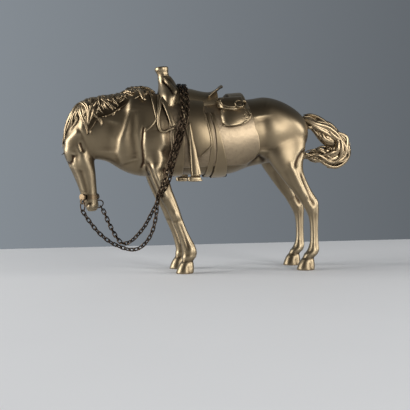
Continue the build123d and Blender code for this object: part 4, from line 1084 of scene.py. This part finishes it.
def buildPatinaAndShade():
    # worn bronze: clean metal on edges and open skin, dark patina in hollows with painted shade there too, painted
    # shade in gaps between parts from an ambient occlusion measure, all broken up by large and small noise
    group, inside, out = groupOf(
        "patinaAndShade",
        [("Metal", "NodeSocketColor", (0.45, 0.34, 0.2, 1)), ("Patina And Shade", "NodeSocketColor", (0.08, 0.05, 0.03, 1)),
         ("Worn", "NodeSocketColor", (0.7, 0.56, 0.36, 1)), ("Darkness", "NodeSocketFloat", 1.0),
         ("Mottle", "NodeSocketFloat", 0.3),
         ("Mottle Scale", "NodeSocketFloat", 120.0), ("Roughness", "NodeSocketFloat", 0.3)],
        [("Color", "NodeSocketColor"), ("Roughness", "NodeSocketFloat"), ("Height", "NodeSocketFloat")],
    )
    place = group.nodes.new("ShaderNodeTexCoord").outputs["Object"]
    hollow = group.nodes.new("ShaderNodeAttribute")
    hollow.attribute_name = "hollow"
    hollow = hollow.outputs["Fac"]
    wide = noiseNode(group, place, 38.0)
    spots = group.nodes.new("ShaderNodeTexNoise")
    spots.inputs["Detail"].default_value = 5.0
    group.links.new(place, spots.inputs["Vector"])
    group.links.new(inside.outputs["Mottle Scale"], spots.inputs["Scale"])
    grain = noiseNode(group, place, 1400.0, 2.0)
    # painted shade: an ambient occlusion measure turns gaps between parts and spots under overlapping pieces toward the
    # dark colour
    gapOcclusion = group.nodes.new("ShaderNodeAmbientOcclusion")
    gapOcclusion.samples, gapOcclusion.inputs["Distance"].default_value = 8, 0.008
    paintedGapShade = mathNode(group, "MULTIPLY", mathNode(group, "SUBTRACT", 0.9, gapOcclusion.outputs["AO"]), 2.0, True)
    # creases take the dark colour: partly the patina a casting holds in its hollows, partly painted shade
    deep = mathNode(group, "MULTIPLY", mathNode(group, "MAXIMUM", hollow, 0.0), inside.outputs["Darkness"])
    deep = mathNode(group, "ADD", deep, paintedGapShade)
    deep = mathNode(group, "ADD", deep, fromMiddle(group, wide, 0.5))
    blotch = fromMiddle(group, spots.outputs[0], inside.outputs["Mottle"])
    deep = mathNode(group, "ADD", deep, mathNode(group, "MULTIPLY", blotch, 2.0), True)
    edge = mathNode(group, "MULTIPLY", mathNode(group, "MAXIMUM", mathNode(group, "MULTIPLY", hollow, -1.0), 0.0), 0.8,
                    True)
    colour = mixNode(group, deep, inside.outputs["Metal"], inside.outputs["Patina And Shade"])
    colour = mixNode(group, edge, colour, inside.outputs["Worn"])
    rough = mathNode(group, "ADD", inside.outputs["Roughness"], mathNode(group, "MULTIPLY", deep, 0.16))
    rough = mathNode(group, "ADD", rough, fromMiddle(group, grain, 0.10))
    height = mathNode(group, "ADD", mathNode(group, "MULTIPLY", grain, 0.35), spots.outputs[0])
    group.links.new(colour, out.inputs["Color"])
    group.links.new(rough, out.inputs["Roughness"])
    group.links.new(height, out.inputs["Height"])
    return group


patinaAndShade = buildPatinaAndShade()


def bronze(name, metal, dark, worn, darkness=1.0, mottle=0.3, mottleScale=120.0, roughness=0.3, bump=0.12,
           depth=0.0003):
    # patina and painted shade group drives colour, roughness and a shallow bump of one metal
    material = bpy.data.materials.new(name)
    material.use_nodes = True
    tree = material.node_tree
    shader = tree.nodes["Principled BSDF"]
    shader.inputs["Metallic"].default_value = 1.0
    skin = tree.nodes.new("ShaderNodeGroup")
    skin.node_tree = patinaAndShade
    for label, value in (("Metal", (*metal, 1)), ("Patina And Shade", (*dark, 1)), ("Worn", (*worn, 1)), ("Darkness", darkness),
                         ("Mottle", mottle), ("Mottle Scale", mottleScale), ("Roughness", roughness)):
        skin.inputs[label].default_value = value
    relief = tree.nodes.new("ShaderNodeBump")
    relief.inputs["Strength"].default_value, relief.inputs["Distance"].default_value = bump, depth
    tree.links.new(skin.outputs["Color"], shader.inputs["Base Color"])
    tree.links.new(skin.outputs["Roughness"], shader.inputs["Roughness"])
    tree.links.new(skin.outputs["Height"], relief.inputs["Height"])
    tree.links.new(relief.outputs[0], shader.inputs["Normal"])
    return material


# each finish's dark colour serves both for patina and for painted shade in hollows and gaps
finishes = {
    "figure_bronze": bronze("horseBronze", (0.205, 0.160, 0.101), (0.045, 0.028, 0.017), (0.34, 0.275, 0.182), 1.2,
                            0.14, 90.0, 0.38, 0.08),
    "hair_bronze": bronze("hairBronze", (0.10, 0.071, 0.041), (0.010, 0.007, 0.005), (0.46, 0.36, 0.23), 1.9, 0.30,
                          260.0, 0.33, 0.2),
    "tack_bronze": bronze("tackBronze", (0.185, 0.142, 0.088), (0.022, 0.014, 0.009), (0.37, 0.295, 0.19), 1.7, 0.20,
                          140.0, 0.37, 0.1),
    "cloth_bronze": bronze("blanketBronze", (0.285, 0.225, 0.152), (0.072, 0.046, 0.032), (0.38, 0.30, 0.20), 1.0,
                           0.42, 420.0, 0.42, 0.35, 0.0005),
    "bit_bronze": bronze("bitBronze", (0.17, 0.122, 0.074), (0.02, 0.014, 0.01), (0.46, 0.36, 0.25), 1.2, 0.3, 300.0,
                         0.36),
    "chain_bronze": bronze("chainBronze", (0.060, 0.041, 0.027), (0.012, 0.009, 0.007), (0.26, 0.18, 0.11), 1.0, 0.4,
                           400.0, 0.32),
}


def paint(piece, slotName):
    piece.data.materials.clear()
    piece.data.materials.append(finishes[slotName])


def dress(piece, slotName, body, *nodes):
    # a finish, the body that carries the piece, and the nodes it stands for
    paint(piece, slotName)
    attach(piece, body)
    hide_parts(*nodes)


sideNames = ("left", "right")
dress(horse, "figure_bronze", "casting", "trunk", "neck", "head", "eye_left", "eye_right",
      *[f"{part}_{name}" for part in ("foreleg", "hindleg", "fore_hoof", "hind_hoof") for name in sideNames])
for piece, slotName, nodes in (
    (earPiece, "figure_bronze", ["ear_left", "ear_right"]),
    (manePiece, "hair_bronze", ["mane"]),
    (forelockPiece, "hair_bronze", ["forelock"]),
    (tailPiece, "hair_bronze", ["tail"]),
    (blanketPiece, "cloth_bronze", ["saddle_blanket"]),
    (cinchPieces[0], "tack_bronze", ["front_cinch"]),
    (cinchPieces[1], "tack_bronze", ["rear_cinch"]),
    (skirtPiece, "tack_bronze", ["skirt_left", "skirt_right"]),
    *zip(fenderPieces, ["tack_bronze"] * 4, (["fender_left"], ["stirrup_left"], ["fender_right"], ["stirrup_right"])),
    (forkPiece, "tack_bronze", ["saddle_fork"]),
    (hornPiece, "tack_bronze", ["saddle_horn"]),
    (seatPiece, "tack_bronze", ["saddle_seat"]),
    (cantlePiece, "tack_bronze", ["cantle"]),
):
    dress(piece, slotName, "casting", *nodes)
for sideName, side in (("Left", "left"), ("Right", "right")):
    for made, node in (("pouch", "saddlebag"), ("flap", "saddlebag_flap"), ("boss", "saddlebag_boss"),
                       ("roll", "saddle_roll"), ("ties", "saddle_ties")):
        dress(bagPieces[made + sideName], "tack_bronze", "casting", f"{node}_{side}")
    dress(strapPieces["strings" + sideName], "tack_bronze", "casting", f"saddle_strings_{side}")
    dress(strapPieces["rigging" + sideName], "tack_bronze", "casting", f"rigging_{side}")
dress(bagPieces["yoke"], "tack_bronze", "casting", "saddlebag_yoke")
dress(leftRein, "chain_bronze", "left_rein", "rein_chain_left")
dress(rightRein, "chain_bronze", "right_rein", "rein_chain_right")
dress(saddleRein, "chain_bronze", "casting", "rein_chain_saddle")
for node in ("noseband", "bit_bar", "bit_cheek_left", "bit_cheek_right"):
    paint(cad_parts[node], "bit_bronze")
for node in ("rein_ring_left", "rein_ring_right"):
    paint(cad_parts[node], "chain_bronze")
print("finishes")


# floor, light and air

studio = {
    "floor": {"low": (-0.9, -1.3), "high": (0.9, 0.23), "colour": (0.80, 0.815, 0.84), "roughness": 0.6},
    "lamps": {
        "left window": {"at": (-1.16, 0.02, 0.38), "size": (0.8, 0.8), "watts": 19.0, "colour": (1.0, 0.985, 0.96)},
        "right window": {"at": (0.46, -1.0, 0.30), "size": (0.45, 0.6), "watts": 7.0, "colour": (1.0, 0.98, 0.95)},
        "right wall": {"at": (1.15, -0.45, 0.34), "size": (0.6, 0.7), "watts": 9.0, "colour": (1.0, 0.98, 0.95)},
    },
    "wall": (0.235, 0.262, 0.29), "room": (0.045, 0.045, 0.047),
}


def makeFloor(s):
    (x0, y0), (x1, y1) = s["low"], s["high"]
    made = pieceOf("floor", [(np.array([(x0, y0, 0), (x1, y0, 0), (x1, y1, 0), (x0, y1, 0)], float) / mm,
                              np.array([(0, 1, 2, 3)]), np.zeros((0, 3), int))])
    material = bpy.data.materials.new("paleBoard")
    material.use_nodes = True
    shader = material.node_tree.nodes["Principled BSDF"]
    tree = material.node_tree
    place = tree.nodes.new("ShaderNodeTexCoord").outputs["Object"]
    soft = noiseNode(tree, place, 6.0)
    tree.links.new(mixNode(tree, soft, (*s["colour"], 1), tuple(0.94 * c for c in s["colour"]) + (1,)),
                   shader.inputs["Base Color"])
    shader.inputs["Roughness"].default_value = s["roughness"]
    made.data.materials.append(material)


def makeLamps(lamps):
    for name, s in lamps.items():
        data = bpy.data.lights.new(name, "AREA")
        data.shape, data.size, data.size_y = "RECTANGLE", *s["size"]
        data.energy, data.color = s["watts"], s["colour"]
        lamp = bpy.data.objects.new(name, data)
        lamp.location = s["at"]
        lamp.rotation_euler = (Vector((0, 0, 0.08)) - lamp.location).to_track_quat("-Z", "Y").to_euler()
        scene.collection.objects.link(lamp)


def makeAir(wall, room):
    # wall colour behind the horse fading to the darker room in front, by the direction looked in
    world = bpy.data.worlds.new("studio")
    scene.world = world
    world.use_nodes = True
    tree = world.node_tree
    direction = tree.nodes.new("ShaderNodeTexCoord").outputs["Generated"]
    split = tree.nodes.new("ShaderNodeSeparateXYZ")
    tree.links.new(direction, split.inputs[0])
    behind = mathNode(tree, "ADD", mathNode(tree, "MULTIPLY", split.outputs[1], 1.6), 0.15, True)
    across = mathNode(tree, "ADD", mathNode(tree, "MULTIPLY", split.outputs[0], -1.9), 0.86, True)
    wallTone = mixNode(tree, across, tuple(0.52 * c for c in wall) + (1,), (*wall, 1))
    colour = mixNode(tree, behind, (*room, 1), wallTone)
    tree.links.new(colour, tree.nodes["Background"].inputs["Color"])


makeFloor(studio["floor"])
makeLamps(studio["lamps"])
makeAir(studio["wall"], studio["room"])
scene.view_settings.view_transform = "Standard"
print("studio")
